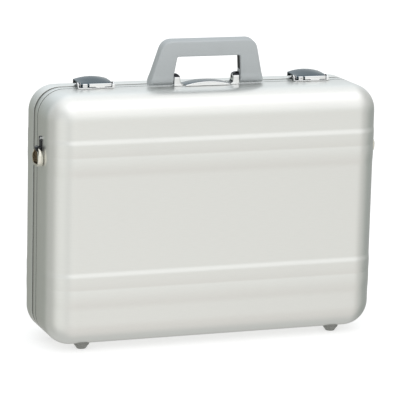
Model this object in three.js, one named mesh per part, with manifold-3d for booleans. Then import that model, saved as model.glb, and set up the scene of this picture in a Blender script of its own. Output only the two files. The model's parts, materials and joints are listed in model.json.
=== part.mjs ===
// Ribbed aluminium attache case, standing on four stud feet.
// Millimetres. X runs along the case's length, Y from the deep front half (-Y) to the lid (+Y), Z up.
// The origin is at the middle of the case on the surface that it stands on.
import * as THREE from 'three';
import { mergeVertices } from 'three/addons/utils/BufferGeometryUtils.js';
import Module from 'manifold-3d';

const wasm = await Module();
wasm.setup();

// ---- Case body
const caseLength = 457;
const caseHeight = 332; // body only, without feet and handle
const caseDepth = 139; // between the two flat faces
const footHeight = 7; // surface to the bottom wall
const cornerRadius = 35; // outline corners, seen from the front
const edgeRadius = 32; // from the walls round to the faces
const sheetThickness = 1.6;
const frontDepth = 84.5; // front face to the middle of the parting
const partingGap = 1.6;
const fit = 0.3; // gap between pieces that touch

// ---- Pressed ribs, two pairs on each face
const ribHeight = 1.4;
const ribWidth = 21;
const lowerRibPairRise = 77.5; // bottom wall to the groove in the middle of the lower pair
const upperRibPairDrop = 79.7; // top wall to the groove of the upper pair

// ---- Extruded frames that stiffen the two rims
const frameBandWidth = 14.2; // the band that shows round the front half
const frameThickness = 4;
const flangeDepth = 12; // tucked inside the front shell
const tongueThickness = 2;
const tongueReach = 6.2; // how far the lid's tongue enters the front frame
const tongueClearance = 0.8;
const lidFrameDepth = 14;
const gasketInset = 1;
const gasketWidth = 3;

// ---- Lining
const liningGap = 0.6;
const liningThickness = 1.4;

// ---- Feet
const footEndMargin = 51.5; // case end to a foot's middle
const footFaceMargin = 29.5; // case face to a foot's middle
const footTopRadius = 10.5;
const footBottomRadius = 6.4;

// ---- Hinges under the bottom wall
const hingeX = 120;
const hingeLength = 56;
const knuckleCount = 5;
const knuckleGap = 0.4;
const barrelRadius = 2.7;
const hingePinRadius = 1.3;
const pinClearance = 0.3;
const leafWidth = 17;
const leafThickness = 1.2;

// ---- Handle, its brackets and the plate between them
const handleSetback = 21; // parting to the handle's pivot
const handleFootClearance = 1.4; // each leg's round end to the top wall
const handleLean = THREE.MathUtils.degToRad(10);
const handleFootHalf = 80.5;
const handleShoulderHalf = 64;
const handleHeight = 53; // pivot to the top of the bar
const handleBar = 21.8; // height of the bar
const handleCornerRadius = 13;
const handleThickness = 15;
const handleNoseMargin = 1.1; // each leg's round end stands out past the bar's thickness
const legInnerFoot = 46.5;
const legInnerTop = 44;
const handleBevel = 1.2;
const bracketThickness = 8.5;
const bracketDepth = 13;
const bracketGap = 0.8;
const bracketGusset = 4;
const bracketBase = 1.8;
const bracketShoulder = 7; // radius of the rounded inner shoulder
const handlePinRadius = 2;
const handlePinReach = 14; // how far the pin enters the leg
const plateHalfLength = 31;
const plateDepth = 22;
const plateEdge = 1.6;
const plateCrown = 4.2;

// ---- Latches
const latchX = 151;
const latchLength = 50;
const latchFrontSetback = 25; // parting to the latch's front
const latchLidReach = 9; // parting to the lever's nose
const latchPlateThickness = 1.2;
const latchPinSetback = 16.5;
const latchPinHeight = 4.4; // above the top wall
const latchPinRadius = 1.2;
const leverBarrelRadius = 2.6;
const cheekThickness = 1.8;
const cheekRadius = 3.4;
const leverSheet = 1.6;
const leverEdgeRise = 1.2; // rise of the lever from front to back at its ends
const leverCrown = 3.4; // the extra rise in the middle of its length
const noseThickness = 1.8;
const noseClearance = 0.6; // between the lever's nose and the keeper's lip
const latchBarThickness = 3.4;
const latchBarHeight = 6.6; // above the top wall
const slideLength = 6.5;
const slideInset = 5.8; // latch end to the slide
const slideTravelGap = 2.3;
const keeperLipHeight = 0.7;
const keeperLipReach = 4.4; // parting to the keeper's lip
const keeperHalfLength = 20;
const keeperLipInset = 2; // keeper's end to the lip's end
const keeperLipThickness = 1.5;

// ---- Strap rings on the side walls
const ringPostSetback = 33; // parting to the post's middle
const ringPivotDrop = 74; // top wall to the ring's pivot
const ringStandoff = 4.3; // side wall to the ring's pivot
const ringHalfWidth = 13.2;
const ringDrop = 21;
const ringWireRadius = 1.6;
const ringBandHalf = 3.4; // half the depth of the band its limbs widen into
const ringBandStart = 2; // drop below the pivot where the limbs start to widen
const ringBandFull = 9;
const ringBoreClearance = 0.5;
const ringEyeWall = 1.4;
const ringEyeLength = 9;
const ringPostHeight = 20;
const ringPostThickness = 1.5;

// ---- Lid stays: a parallelogram of two flat bars on each side
const stayBarHeight = 95; // from the hinge to the front half's pivot
const stayBarSetback = 11.8;
const stayLidHeight = 100; // from the hinge to the lid's pivot
const stayLidSetback = 10.5;
const stayWidth = 9;
const stayThickness = 1.5;
const stayGap = 0.5;
const staySideClearance = 1.2; // tongue to the first bar
const rivetRadius = 2;
const rivetHeadRadius = 3.3;
const rivetHeadThickness = 0.7;

// ---- Worked-out places
const halfLength = caseLength / 2;
const faceY = caseDepth / 2;
const bottomZ = footHeight;
const topZ = footHeight + caseHeight;
const partingY = -faceY + frontDepth;
const frontRimY = partingY - partingGap / 2;
const lidRimY = partingY + partingGap / 2;
const bandStartY = frontRimY - frameBandWidth;
const hingeZ = bottomZ - fit - 0.1 - barrelRadius;
const lowerRibPairZ = bottomZ + lowerRibPairRise;
const upperRibPairZ = topZ - upperRibPairDrop;
const coreX = halfLength - cornerRadius;
const coreLowZ = bottomZ + cornerRadius;
const coreHighZ = topZ - cornerRadius;
const footX = halfLength - footEndMargin;
const footY = faceY - footFaceMargin;
const roundSegments = 14;
const cornerSteps = 5;
const edgeSteps = 5;

// ---- Materials
const finish = (color, roughness, metalness) =>
  new THREE.MeshStandardMaterial({ color, roughness, metalness });
const materials = {
  satinAluminium: () => finish(0xd2d4d0, 0.38, 0.9),
  frameAluminium: () => finish(0xc4c7c4, 0.3, 0.95),
  chrome: () => finish(0xd8dadc, 0.08, 1),
  steel: () => finish(0x9a9da0, 0.35, 1),
  handleGrey: () => finish(0xa9adae, 0.5, 0.3),
  rubber: () => finish(0x1f2122, 0.85, 0),
  lining: () => finish(0x34373b, 0.95, 0),
  leather: () => finish(0x26221f, 0.7, 0),
};

// ---- Solids and meshes
const attache = new THREE.Group();

function addPiece(name, shape, material) {
  const geometry = shape.isBufferGeometry ? shape : toGeometry(shape);
  const mesh = new THREE.Mesh(geometry, materials[material]());
  mesh.name = name;
  attache.add(mesh);
  return mesh;
}

function toSolid(geometry) {
  const bare = geometry.clone();
  for (const attribute of ['normal', 'uv']) {
    bare.deleteAttribute(attribute);
  }
  const merged = mergeVertices(bare, 1e-4);
  return new wasm.Manifold(
    new wasm.Mesh({
      numProp: 3,
      vertProperties: new Float32Array(merged.attributes.position.array),
      triVerts: new Uint32Array(merged.index.array),
    }),
  );
}

function toGeometry(solid) {
  const mesh = solid.getMesh();
  const geometry = new THREE.BufferGeometry();
  geometry.setAttribute('position', new THREE.BufferAttribute(new Float32Array(mesh.vertProperties), 3));
  geometry.setIndex(new THREE.BufferAttribute(new Uint32Array(mesh.triVerts), 1));
  geometry.computeVertexNormals();
  return geometry;
}

function union(...solids) {
  return solids.reduce((sum, next) => sum.add(next));
}

function block(x0, x1, y0, y1, z0, z1) {
  const geometry = new THREE.BoxGeometry(x1 - x0, y1 - y0, z1 - z0);
  geometry.translate((x0 + x1) / 2, (y0 + y1) / 2, (z0 + z1) / 2);
  return toSolid(geometry);
}

// A round bar along X between x0 and x1.
function rodX(radius, x0, x1, y, z) {
  const length = Math.abs(x1 - x0);
  const geometry = new THREE.CylinderGeometry(radius, radius, length, roundSegments);
  geometry.rotateZ(Math.PI / 2);
  geometry.translate((x0 + x1) / 2, y, z);
  return toSolid(geometry);
}

// A flat outline of [across, up] points drawn in the YZ plane and given a thickness along X.
function slabX(outline, x0, x1) {
  const options = { depth: Math.abs(x1 - x0), bevelEnabled: false, curveSegments: 6 };
  const geometry = new THREE.ExtrudeGeometry(outline, options);
  geometry.rotateX(Math.PI / 2);
  geometry.rotateZ(Math.PI / 2);
  geometry.translate(Math.min(x0, x1), 0, 0);
  return toSolid(geometry);
}

// A flat outline of [x, z] points given a thickness along Y, from y0 (front) to y1 (back).
function slabY(outline, y0, y1, bevel = 0) {
  const depth = y1 - y0 - 2 * bevel;
  const edges = { bevelThickness: bevel, bevelSize: bevel, bevelOffset: -bevel, bevelSegments: 1 };
  const options = { depth, bevelEnabled: bevel > 0, ...edges, curveSegments: 5 };
  const geometry = new THREE.ExtrudeGeometry(outline, options);
  geometry.rotateX(Math.PI / 2);
  geometry.translate(0, y1 - bevel, 0);
  return toSolid(geometry);
}

// Builds a geometry from triangles and turns them all to face outwards.
function closedGeometry(points, triangles) {
  let volume = 0;
  for (const [a, b, c] of triangles) {
    volume += points[a].dot(new THREE.Vector3().crossVectors(points[b], points[c]));
  }
  const ordered = volume > 0 ? triangles : triangles.map(([a, b, c]) => [a, c, b]);
  const geometry = new THREE.BufferGeometry().setFromPoints(points);
  geometry.setIndex(ordered.flat());
  geometry.computeVertexNormals();
  return geometry;
}

// ---- The case outline: each station is a core point and the direction in which it grows.
function outlineStations(zs) {
  const stations = [];
  const side = (x, list) => {
    for (const z of list) {
      stations.push({ x: x * coreX, z, nx: x, nz: 0 });
    }
  };
  const corner = (x, z, fromDegrees) => {
    for (let step = 1; step < cornerSteps; step += 1) {
      const angle = THREE.MathUtils.degToRad(fromDegrees + (90 * step) / cornerSteps);
      stations.push({ x: x * coreX, z, nx: Math.cos(angle), nz: Math.sin(angle) });
    }
  };
  const level = (z, nz) => {
    for (const x of nz > 0 ? [coreX, -coreX] : [-coreX, coreX]) {
      stations.push({ x, z, nx: 0, nz });
    }
  };
  side(1, zs);
  corner(1, coreHighZ, 0);
  level(coreHighZ, 1);
  corner(-1, coreHighZ, 90);
  side(-1, [...zs].reverse());
  corner(-1, coreLowZ, 180);
  level(coreLowZ, -1);
  corner(1, coreLowZ, 270);
  return stations;
}

const plainRows = [coreLowZ, coreHighZ];

// Heights of the rows that carry the pressed ribs: a third of a rib apart.
function ribbedRows() {
  const rows = [coreLowZ];
  for (const middle of [lowerRibPairZ, upperRibPairZ]) {
    for (let step = -3; step <= 3; step += 1) {
      rows.push(middle + (step * ribWidth) / 3);
    }
  }
  rows.push(coreHighZ);
  return rows;
}

// How far a rib stands out at height z: two rounded crests beside each other.
function ribRise(z) {
  for (const middle of [lowerRibPairZ, upperRibPairZ]) {
    const across = (z - middle) / ribWidth;
    if (Math.abs(across) < 1) {
      return ribHeight * Math.abs(Math.sin(Math.PI * across));
    }
  }
  return 0;
}

// One skin of a pan: from the rim along the walls, round the edge and over the face.
// side is -1 for the front half and 1 for the lid; inset moves the whole skin inwards.
function panSkin({ side, inset, rimY, rows, ribs }) {
  const stations = outlineStations(rows);
  const points = [];
  const radius = edgeRadius - inset;
  const ring = (extraInset, y, slope) => {
    for (const s of stations) {
      const rise = ribs && s.nz === 0 ? ribRise(s.z) * Math.sin(slope) : 0;
      const reach = cornerRadius - inset - extraInset + rise * Math.cos(slope);
      const lifted = y + side * rise * Math.sin(slope);
      points.push(new THREE.Vector3(s.x + s.nx * reach, lifted, s.z + s.nz * reach));
    }
  };
  ring(0, rimY, 0);
  for (let step = 0; step <= edgeSteps; step += 1) {
    const slope = (Math.PI / 2) * (step / edgeSteps);
    ring(radius * (1 - Math.cos(slope)), side * (faceY - inset - radius + radius * Math.sin(slope)), slope);
  }
  const grid = points.length;
  for (const z of rows) {
    for (const x of [-coreX, coreX]) {
      points.push(new THREE.Vector3(x, side * (faceY - inset + (ribs ? ribRise(z) : 0)), z));
    }
  }
  const count = stations.length;
  const triangles = [];
  const quad = (a, b, c, d) => triangles.push([a, b, c], [a, c, d]);
  for (let level = 0; level <= edgeSteps; level += 1) {
    for (let i = 0; i < count; i += 1) {
      const next = (i + 1) % count;
      quad(level * count + i, level * count + next, (level + 1) * count + next, (level + 1) * count + i);
    }
  }
  const border = (edgeSteps + 1) * count;
  const last = rows.length - 1;
  const right = (row) => border + row;
  const topRight = border + last + cornerSteps;
  const topLeft = topRight + 1;
  const left = (row) => topLeft + cornerSteps + (last - row);
  const bottomLeft = left(0) + cornerSteps;
  const bottomRight = bottomLeft + 1;
  const inner = (row, column) => grid + row * 2 + column;
  for (let row = 0; row < last; row += 1) {
    quad(right(row), right(row + 1), inner(row + 1, 1), inner(row, 1));
    quad(inner(row, 1), inner(row + 1, 1), inner(row + 1, 0), inner(row, 0));
    quad(inner(row, 0), inner(row + 1, 0), left(row + 1), left(row));
  }
  quad(topRight, topLeft, inner(last, 0), inner(last, 1));
  quad(bottomLeft, bottomRight, inner(0, 1), inner(0, 0));
  const fan = (centre, from) => {
    for (let step = 0; step < cornerSteps; step += 1) {
      const a = from + step;
      const b = from + step + 1;
      triangles.push([centre, a, b === border + count ? border : b]);
    }
  };
  fan(inner(last, 1), right(last));
  fan(inner(last, 0), topLeft);
  fan(inner(0, 0), left(0));
  fan(inner(0, 1), bottomRight);
  return { points, triangles, count };
}

// A pan with a wall: an outer skin, an inner skin and the rim between them.
function panGeometry({ side, inset, thickness, rimY, rows = plainRows, ribs = false }) {
  const outer = panSkin({ side, inset, rimY, rows, ribs });
  const innerSkin = panSkin({ side, inset: inset + thickness, rimY, rows, ribs });
  const offset = outer.points.length;
  const triangles = outer.triangles.map(([a, b, c]) => [a, c, b]);
  for (const [a, b, c] of innerSkin.triangles) {
    triangles.push([a + offset, b + offset, c + offset]);
  }
  for (let i = 0; i < outer.count; i += 1) {
    const next = (i + 1) % outer.count;
    triangles.push([i, next, offset + next], [i, offset + next, offset + i]);
  }
  return closedGeometry([...outer.points, ...innerSkin.points], triangles);
}

// The whole volume inside a pan's outer skin, to cut what seats on it.
function panVolume(side, inset, rimY) {
  const skin = panSkin({ side, inset, rimY, rows: plainRows, ribs: false });
  const triangles = skin.triangles.map(([a, b, c]) => [a, c, b]);
  for (let i = 1; i < skin.count - 1; i += 1) {
    triangles.push([0, i, i + 1]);
  }
  return toSolid(closedGeometry(skin.points, triangles));
}

// A frame: a closed section of [inset, y] points carried round the case outline.
function frameGeometry(section) {
  const stations = outlineStations(plainRows);
  const points = [];
  for (const s of stations) {
    for (const [inset, y] of section) {
      const reach = cornerRadius - inset;
      points.push(new THREE.Vector3(s.x + s.nx * reach, y, s.z + s.nz * reach));
    }
  }
  const size = section.length;
  const triangles = [];
  for (let i = 0; i < stations.length; i += 1) {
    const here = i * size;
    const there = ((i + 1) % stations.length) * size;
    for (let j = 0; j < size; j += 1) {
      const next = (j + 1) % size;
      triangles.push([here + j, here + next, there + next], [here + j, there + next, there + j]);
    }
  }
  return closedGeometry(points, triangles);
}

// ---- Shells, frames, gasket and linings
const shellRows = ribbedRows();
const frameInset = sheetThickness + fit;
const tongueInset = frameThickness + tongueClearance;

function addShells() {
  const shell = { inset: 0, thickness: sheetThickness, rows: shellRows, ribs: true };
  addPiece('front_shell', panGeometry({ ...shell, side: -1, rimY: bandStartY - fit }), 'satinAluminium');
  addPiece('back_shell', panGeometry({ ...shell, side: 1, rimY: lidRimY }), 'satinAluminium');
}

function addFrames() {
  addPiece(
    'front_frame',
    frameGeometry([
      [0, bandStartY],
      [0, frontRimY],
      [frameThickness, frontRimY],
      [frameThickness, bandStartY - flangeDepth],
      [frameInset, bandStartY - flangeDepth],
      [frameInset, bandStartY],
    ]),
    'frameAluminium',
  );
  addPiece(
    'back_frame',
    frameGeometry([
      [frameInset, lidRimY + fit],
      [frameInset, lidRimY + lidFrameDepth],
      [tongueInset + tongueThickness, lidRimY + lidFrameDepth],
      [tongueInset + tongueThickness, frontRimY - tongueReach],
      [tongueInset, frontRimY - tongueReach],
      [tongueInset, lidRimY + fit],
    ]),
    'frameAluminium',
  );
  addPiece(
    'frame_gasket',
    frameGeometry([
      [gasketInset, frontRimY + fit],
      [gasketInset, lidRimY - fit],
      [gasketInset + gasketWidth, lidRimY - fit],
      [gasketInset + gasketWidth, frontRimY + fit],
    ]),
    'rubber',
  );
}

const liningInset = sheetThickness + liningGap;
const liningFaceY = faceY - liningInset - liningThickness;

function addLinings() {
  const lining = { inset: liningInset, thickness: liningThickness };
  const frontLiningRim = bandStartY - flangeDepth - fit;
  addPiece('front_lining', panGeometry({ ...lining, side: -1, rimY: frontLiningRim }), 'lining');
  addPiece('back_lining', panGeometry({ ...lining, side: 1, rimY: lidRimY + lidFrameDepth + fit }), 'lining');
}

// ---- Stud feet, saddled to the rounded bottom edge
function addFeet() {
  const profile = [
    [0, 0],
    [footBottomRadius - 0.8, 0],
    [footBottomRadius, 0.8],
    [footTopRadius - 0.4, footHeight - 1.4],
    [footTopRadius, footHeight - 0.6],
    [footTopRadius, footHeight + 5],
    [0, footHeight + 5],
  ].map(([radius, z]) => new THREE.Vector2(radius, z));
  for (const [row, side, rimY] of [
    ['front', -1, bandStartY],
    ['rear', 1, lidRimY],
  ]) {
    const caseVolume = panVolume(side, -fit, rimY);
    for (const [hand, x] of [
      ['left', -footX],
      ['right', footX],
    ]) {
      const stud = new THREE.LatheGeometry(profile, 20);
      stud.rotateX(Math.PI / 2);
      stud.translate(x, side * footY, 0);
      addPiece(`${row}_foot_${hand}`, toSolid(stud).subtract(caseVolume), 'rubber');
    }
  }
}

// ---- Hinges
function addHinge(hand, x) {
  const start = x - hingeLength / 2;
  const pitch = hingeLength / knuckleCount;
  const leafTop = bottomZ - fit;
  const leafBottom = leafTop - leafThickness;
  const leafEdge = barrelRadius + knuckleGap;
  const bore = rodX(hingePinRadius + pinClearance, start - 1, start + hingeLength + 1, partingY, hingeZ);
  const leaf = (side, parity) => {
    const nearY = partingY + side * leafEdge;
    const farY = partingY + side * (leafEdge + leafWidth);
    const [leafY0, leafY1] = [Math.min(nearY, farY), Math.max(nearY, farY)];
    let solid = block(start, start + hingeLength, leafY0, leafY1, leafBottom, leafTop);
    for (let i = parity; i < knuckleCount; i += 2) {
      const x0 = start + i * pitch + knuckleGap / 2;
      const x1 = start + (i + 1) * pitch - knuckleGap / 2;
      const bridgeY = partingY + side * (leafEdge + 1);
      const [bridgeY0, bridgeY1] = [Math.min(partingY, bridgeY), Math.max(partingY, bridgeY)];
      const bridge = block(x0, x1, bridgeY0, bridgeY1, leafBottom, hingeZ + barrelRadius);
      solid = union(solid, rodX(barrelRadius, x0, x1, partingY, hingeZ), bridge);
    }
    return solid.subtract(bore);
  };
  addPiece(`hinge_front_leaf_${hand}`, leaf(-1, 0), 'steel');
  addPiece(`hinge_lid_leaf_${hand}`, leaf(1, 1), 'steel');
  addPiece(`hinge_pin_${hand}`, rodX(hingePinRadius, start, start + hingeLength, partingY, hingeZ), 'steel');
}

// ---- Handle
const handleY = partingY - handleSetback;
const handleNoseRadius = handleThickness / 2 + handleNoseMargin;
const handlePivotZ = topZ + handleNoseRadius + handleFootClearance;

function handleOutline() {
  const outline = new THREE.Shape();
  const r = handleCornerRadius;
  const flare = (handleFootHalf - handleShoulderHalf) / (handleHeight + handleNoseRadius);
  outline.moveTo(-handleFootHalf, -handleNoseRadius);
  outline.lineTo(-handleShoulderHalf - flare * r, handleHeight - r);
  outline.quadraticCurveTo(-handleShoulderHalf, handleHeight, -handleShoulderHalf + r, handleHeight);
  outline.lineTo(handleShoulderHalf - r, handleHeight);
  const shoulderEnd = handleShoulderHalf + flare * r;
  outline.quadraticCurveTo(handleShoulderHalf, handleHeight, shoulderEnd, handleHeight - r);
  outline.lineTo(handleFootHalf, -handleNoseRadius);
  outline.lineTo(legInnerFoot, -handleNoseRadius);
  const besideBracket = bracketDepth / 2 + bracketGap;
  const inner = handleHeight - handleBar;
  outline.lineTo(legInnerFoot, besideBracket);
  outline.lineTo(legInnerTop, inner - 3);
  outline.quadraticCurveTo(legInnerTop, inner, legInnerTop - 3, inner);
  outline.lineTo(-legInnerTop + 3, inner);
  outline.quadraticCurveTo(-legInnerTop, inner, -legInnerTop, inner - 3);
  outline.lineTo(-legInnerFoot, besideBracket);
  outline.lineTo(-legInnerFoot, -handleNoseRadius);
  outline.closePath();
  return outline;
}

function addHandle() {
  const reach = handleFootHalf + 1;
  const above = block(-reach, reach, -handleThickness, handleThickness, 0, handleHeight + 1);
  const noses = rodX(handleNoseRadius, -reach, reach, 0, 0);
  const slab = slabY(handleOutline(), -handleThickness / 2, handleThickness / 2, handleBevel);
  let grip = slab.intersect(union(above, noses));
  for (const side of [-1, 1]) {
    const from = side * (legInnerFoot - 2);
    const to = side * (legInnerFoot + handlePinReach + fit);
    grip = grip.subtract(rodX(handlePinRadius + pinClearance, from, to, 0, 0));
  }
  const handle = addPiece('handle', grip, 'handleGrey');
  handle.position.set(0, handleY, handlePivotZ);
  handle.rotation.x = handleLean;
}

function addHandleMount(hand, side) {
  const outer = legInnerFoot - bracketGap;
  const inner = outer - bracketThickness;
  const low = topZ + fit;
  const high = handlePivotZ + bracketDepth / 2;
  const flare = low + bracketBase;
  const section = new THREE.Shape();
  section.moveTo(side * outer, low);
  section.lineTo(side * outer, high);
  section.lineTo(side * (inner + bracketShoulder), high);
  section.quadraticCurveTo(side * inner, high, side * inner, high - bracketShoulder);
  section.quadraticCurveTo(side * inner, flare, side * (inner - bracketGusset), flare);
  section.lineTo(side * (inner - bracketGusset), low);
  section.closePath();
  const depthHalf = bracketDepth / 2;
  const body = slabY(section, handleY - depthHalf, handleY + depthHalf);
  const foot = block(-outer - 1, outer + 1, handleY - depthHalf, handleY + depthHalf, low, handlePivotZ);
  const roundTop = rodX(depthHalf, -outer - 1, outer + 1, handleY, handlePivotZ);
  const bore = rodX(handlePinRadius + fit, side * (inner - 9), side * (outer + 2), handleY, handlePivotZ);
  addPiece(`handle_bracket_${hand}`, body.intersect(union(foot, roundTop)).subtract(bore), 'chrome');
  const pinStart = side * (inner + 0.8);
  const pinEnd = side * (legInnerFoot + handlePinReach);
  addPiece(`handle_pin_${hand}`, rodX(handlePinRadius, pinStart, pinEnd, handleY, handlePivotZ), 'chrome');
}

function addHandlePlate() {
  const low = topZ + fit;
  const outline = new THREE.Shape();
  outline.moveTo(-plateHalfLength, low);
  outline.lineTo(plateHalfLength, low);
  outline.lineTo(plateHalfLength, low + plateEdge);
  const crown = low + plateEdge + plateCrown;
  outline.quadraticCurveTo(0, 2 * crown - low - plateEdge, -plateHalfLength, low + plateEdge);
  outline.closePath();
  addPiece('handle_plate', slabY(outline, handleY - plateDepth / 2, handleY + plateDepth / 2), 'chrome');
}

// ---- Latches
const latchPinZ = topZ + latchPinHeight;
const latchPinY = partingY - latchPinSetback;
const latchFrontY = partingY - latchFrontSetback;
const latchBackY = partingY + latchLidReach;
const keeperLipY = partingY + keeperLipReach;
const latchLow = topZ + fit;
const latchPlateTop = latchLow + latchPlateThickness;

function addLatchBase(hand, x) {
  const half = latchLength / 2;
  const barLeft = x - half + slideInset + slideLength + slideTravelGap;
  const barBack = latchFrontY + latchBarThickness;
  const barTop = topZ + latchBarHeight;
  const knuckleLeft = x + half - 4.4;
  const plate = block(x - half, x + half, latchFrontY, frontRimY - fit, latchLow, latchPlateTop);
  const bar = block(barLeft, knuckleLeft - 0.8, latchFrontY, barBack, latchLow, barTop);
  const knuckle = block(knuckleLeft, x + half, latchFrontY, barBack, latchLow, barTop - 1);
  const cheek = (x0, x1) => {
    const outline = new THREE.Shape();
    outline.moveTo(latchPinY - cheekRadius - 1, latchLow);
    outline.lineTo(latchPinY - cheekRadius, latchPinZ);
    outline.absarc(latchPinY, latchPinZ, cheekRadius, Math.PI, 0.5, true);
    outline.lineTo(frontRimY - 2, latchPlateTop);
    outline.lineTo(frontRimY - 2, latchLow);
    outline.closePath();
    return slabX(outline, x0, x1);
  };
  const left = cheek(x - half, x - half + cheekThickness);
  const right = cheek(x + half - cheekThickness, x + half);
  const bore = rodX(latchPinRadius + fit, x - half - 1, x + half + 1, latchPinY, latchPinZ);
  addPiece(`latch_base_${hand}`, union(plate, bar, knuckle, left, right).subtract(bore), 'chrome');
  addPiece(`latch_pin_${hand}`, rodX(latchPinRadius, x - half, x + half, latchPinY, latchPinZ), 'steel');
  const slideLeft = x - half + slideInset;
  const slide = block(slideLeft, slideLeft + slideLength, latchFrontY, barBack, latchPlateTop + fit, barTop);
  addPiece(`release_slide_${hand}`, slide, 'chrome');
}

// Height of the lever's crowned top: u runs along the latch (-1 to 1), t from its pivot to its nose (0 to 1).
function leverTop(u, t) {
  const swell = leverEdgeRise + leverCrown * (1 - u * u);
  return latchPinZ + leverBarrelRadius + swell * Math.sin((Math.PI / 2) * t);
}

// A crowned sheet between the lever's top surface, lowered by `drop`,
// and a floor or a second surface below it.
function leverBody(x, half, drop, floorZ) {
  const columns = 8;
  const rows = 4;
  const points = [];
  const place = (low) => {
    for (let j = 0; j <= rows; j += 1) {
      for (let i = 0; i <= columns; i += 1) {
        const u = (2 * i) / columns - 1;
        const t = j / rows;
        const z = low && floorZ !== null ? floorZ : leverTop(u, t) - (low ? drop : 0);
        points.push(new THREE.Vector3(x + u * half, latchPinY + t * (latchBackY - latchPinY), z));
      }
    }
  };
  place(false);
  place(true);
  const width = columns + 1;
  const under = width * (rows + 1);
  const triangles = [];
  const quad = (a, b, c, d) => triangles.push([a, b, c], [a, c, d]);
  for (let j = 0; j < rows; j += 1) {
    for (let i = 0; i < columns; i += 1) {
      const a = j * width + i;
      quad(a, a + 1, a + 1 + width, a + width);
      quad(under + a, under + a + width, under + a + 1 + width, under + a + 1);
    }
    const first = j * width;
    const end = first + columns;
    quad(first, first + width, under + first + width, under + first);
    quad(end, under + end, under + end + width, end + width);
  }
  for (let i = 0; i < columns; i += 1) {
    const back = rows * width + i;
    quad(i, under + i, under + i + 1, i + 1);
    quad(back, back + 1, under + back + 1, under + back);
  }
  return toSolid(closedGeometry(points, triangles));
}

function addLatchLever(hand, x) {
  const half = latchLength / 2 - cheekThickness - 0.5;
  const noseLow = latchPlateTop + keeperLipHeight + noseClearance;
  const filled = leverBody(x, half, 0, noseLow - 1);
  const sheet = leverBody(x, half, leverSheet, null);
  const barrel = rodX(leverBarrelRadius, x - half, x + half, latchPinY, latchPinZ);
  const nose = block(x - half, x + half, latchBackY - noseThickness, latchBackY + 1, noseLow, topZ + 40);
  const bore = rodX(latchPinRadius + pinClearance, x - half - 1, x + half + 1, latchPinY, latchPinZ);
  addPiece(`latch_lever_${hand}`, union(sheet, barrel, nose.intersect(filled)).subtract(bore), 'chrome');
}

function addLatchKeeper(hand, x) {
  const from = lidRimY + fit;
  const to = latchBackY + 3;
  const plate = block(x - keeperHalfLength, x + keeperHalfLength, from, to, latchLow, latchPlateTop);
  const lipTop = latchPlateTop + keeperLipHeight;
  const lipHalf = keeperHalfLength - keeperLipInset;
  const lipBack = keeperLipY + keeperLipThickness;
  const lip = block(x - lipHalf, x + lipHalf, keeperLipY, lipBack, latchLow, lipTop);
  addPiece(`latch_keeper_${hand}`, union(plate, lip), 'chrome');
}

// ---- Strap rings
const ringPostY = partingY - ringPostSetback;
const ringPivotZ = topZ - ringPivotDrop;

class RingPath extends THREE.Curve {
  constructor(x) {
    super();
    this.x = x;
  }

  getPoint(t) {
    const angle = 2 * Math.PI * t;
    const squared = (value) => Math.sign(value) * Math.abs(value) ** 0.62;
    const across = squared(Math.cos(angle)) * ringHalfWidth;
    const down = (squared(Math.sin(angle)) - 1) * (ringDrop / 2);
    return new THREE.Vector3(this.x, ringPostY + across, ringPivotZ + down);
  }
}

// A round top bar for the eye, with limbs that widen into a flat band.
function bandedRing(pivotX) {
  const geometry = new THREE.TubeGeometry(new RingPath(pivotX), 28, ringWireRadius, 8, true);
  const points = geometry.attributes.position;
  for (let i = 0; i < points.count; i += 1) {
    const drop = ringPivotZ - points.getZ(i);
    const share = THREE.MathUtils.smoothstep(drop, ringBandStart, ringBandFull);
    const widen = 1 + (ringBandHalf / ringWireRadius - 1) * share;
    points.setX(i, pivotX + (points.getX(i) - pivotX) * widen);
  }
  return toSolid(geometry);
}

function addStrapRing(hand, side) {
  const wall = side * (halfLength + fit);
  const pivotX = side * (halfLength + ringStandoff);
  const eyeRadius = ringWireRadius + ringBoreClearance + ringEyeWall;
  const halfEye = ringEyeLength / 2;
  const plateOut = wall + side * ringPostThickness;
  const plateZ0 = ringPivotZ - eyeRadius;
  const barrelY = (radius, half) => {
    const geometry = new THREE.CylinderGeometry(radius, radius, 2 * half, roundSegments);
    geometry.translate(pivotX, ringPostY, ringPivotZ);
    return toSolid(geometry);
  };
  const x0 = Math.min(wall, plateOut);
  const x1 = Math.max(wall, plateOut);
  const plate = block(x0, x1, ringPostY - halfEye, ringPostY + halfEye, plateZ0, plateZ0 + ringPostHeight);
  const web = block(
    Math.min(wall, pivotX),
    Math.max(wall, pivotX),
    ringPostY - halfEye,
    ringPostY + halfEye,
    ringPivotZ + eyeRadius - 1.2,
    ringPivotZ + eyeRadius + 1,
  );
  const eye = union(plate, web, barrelY(eyeRadius, halfEye));
  const outside = side > 0 ? [wall, wall + 30] : [wall - 30, wall];
  const [postY0, postY1] = [ringPostY - halfEye, ringPostY + halfEye];
  const keep = block(outside[0], outside[1], postY0, postY1, plateZ0 - 1, plateZ0 + 40);
  const post = eye.intersect(keep).subtract(barrelY(ringWireRadius + ringBoreClearance, halfEye + 1));
  addPiece(`ring_post_${hand}`, post, 'chrome');
  addPiece(`strap_ring_${hand}`, bandedRing(pivotX), 'chrome');
}

// ---- Lid stays
const stayInset = tongueInset + tongueThickness + staySideClearance;

function stayBar(fromY, fromZ, toY, toZ, x0, x1) {
  const along = Math.atan2(toZ - fromZ, toY - fromY);
  const radius = stayWidth / 2;
  const outline = new THREE.Shape();
  outline.absarc(fromY, fromZ, radius, along + Math.PI / 2, along + 1.5 * Math.PI, false);
  outline.absarc(toY, toZ, radius, along - Math.PI / 2, along + Math.PI / 2, false);
  return slabX(outline, x0, x1);
}

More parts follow.
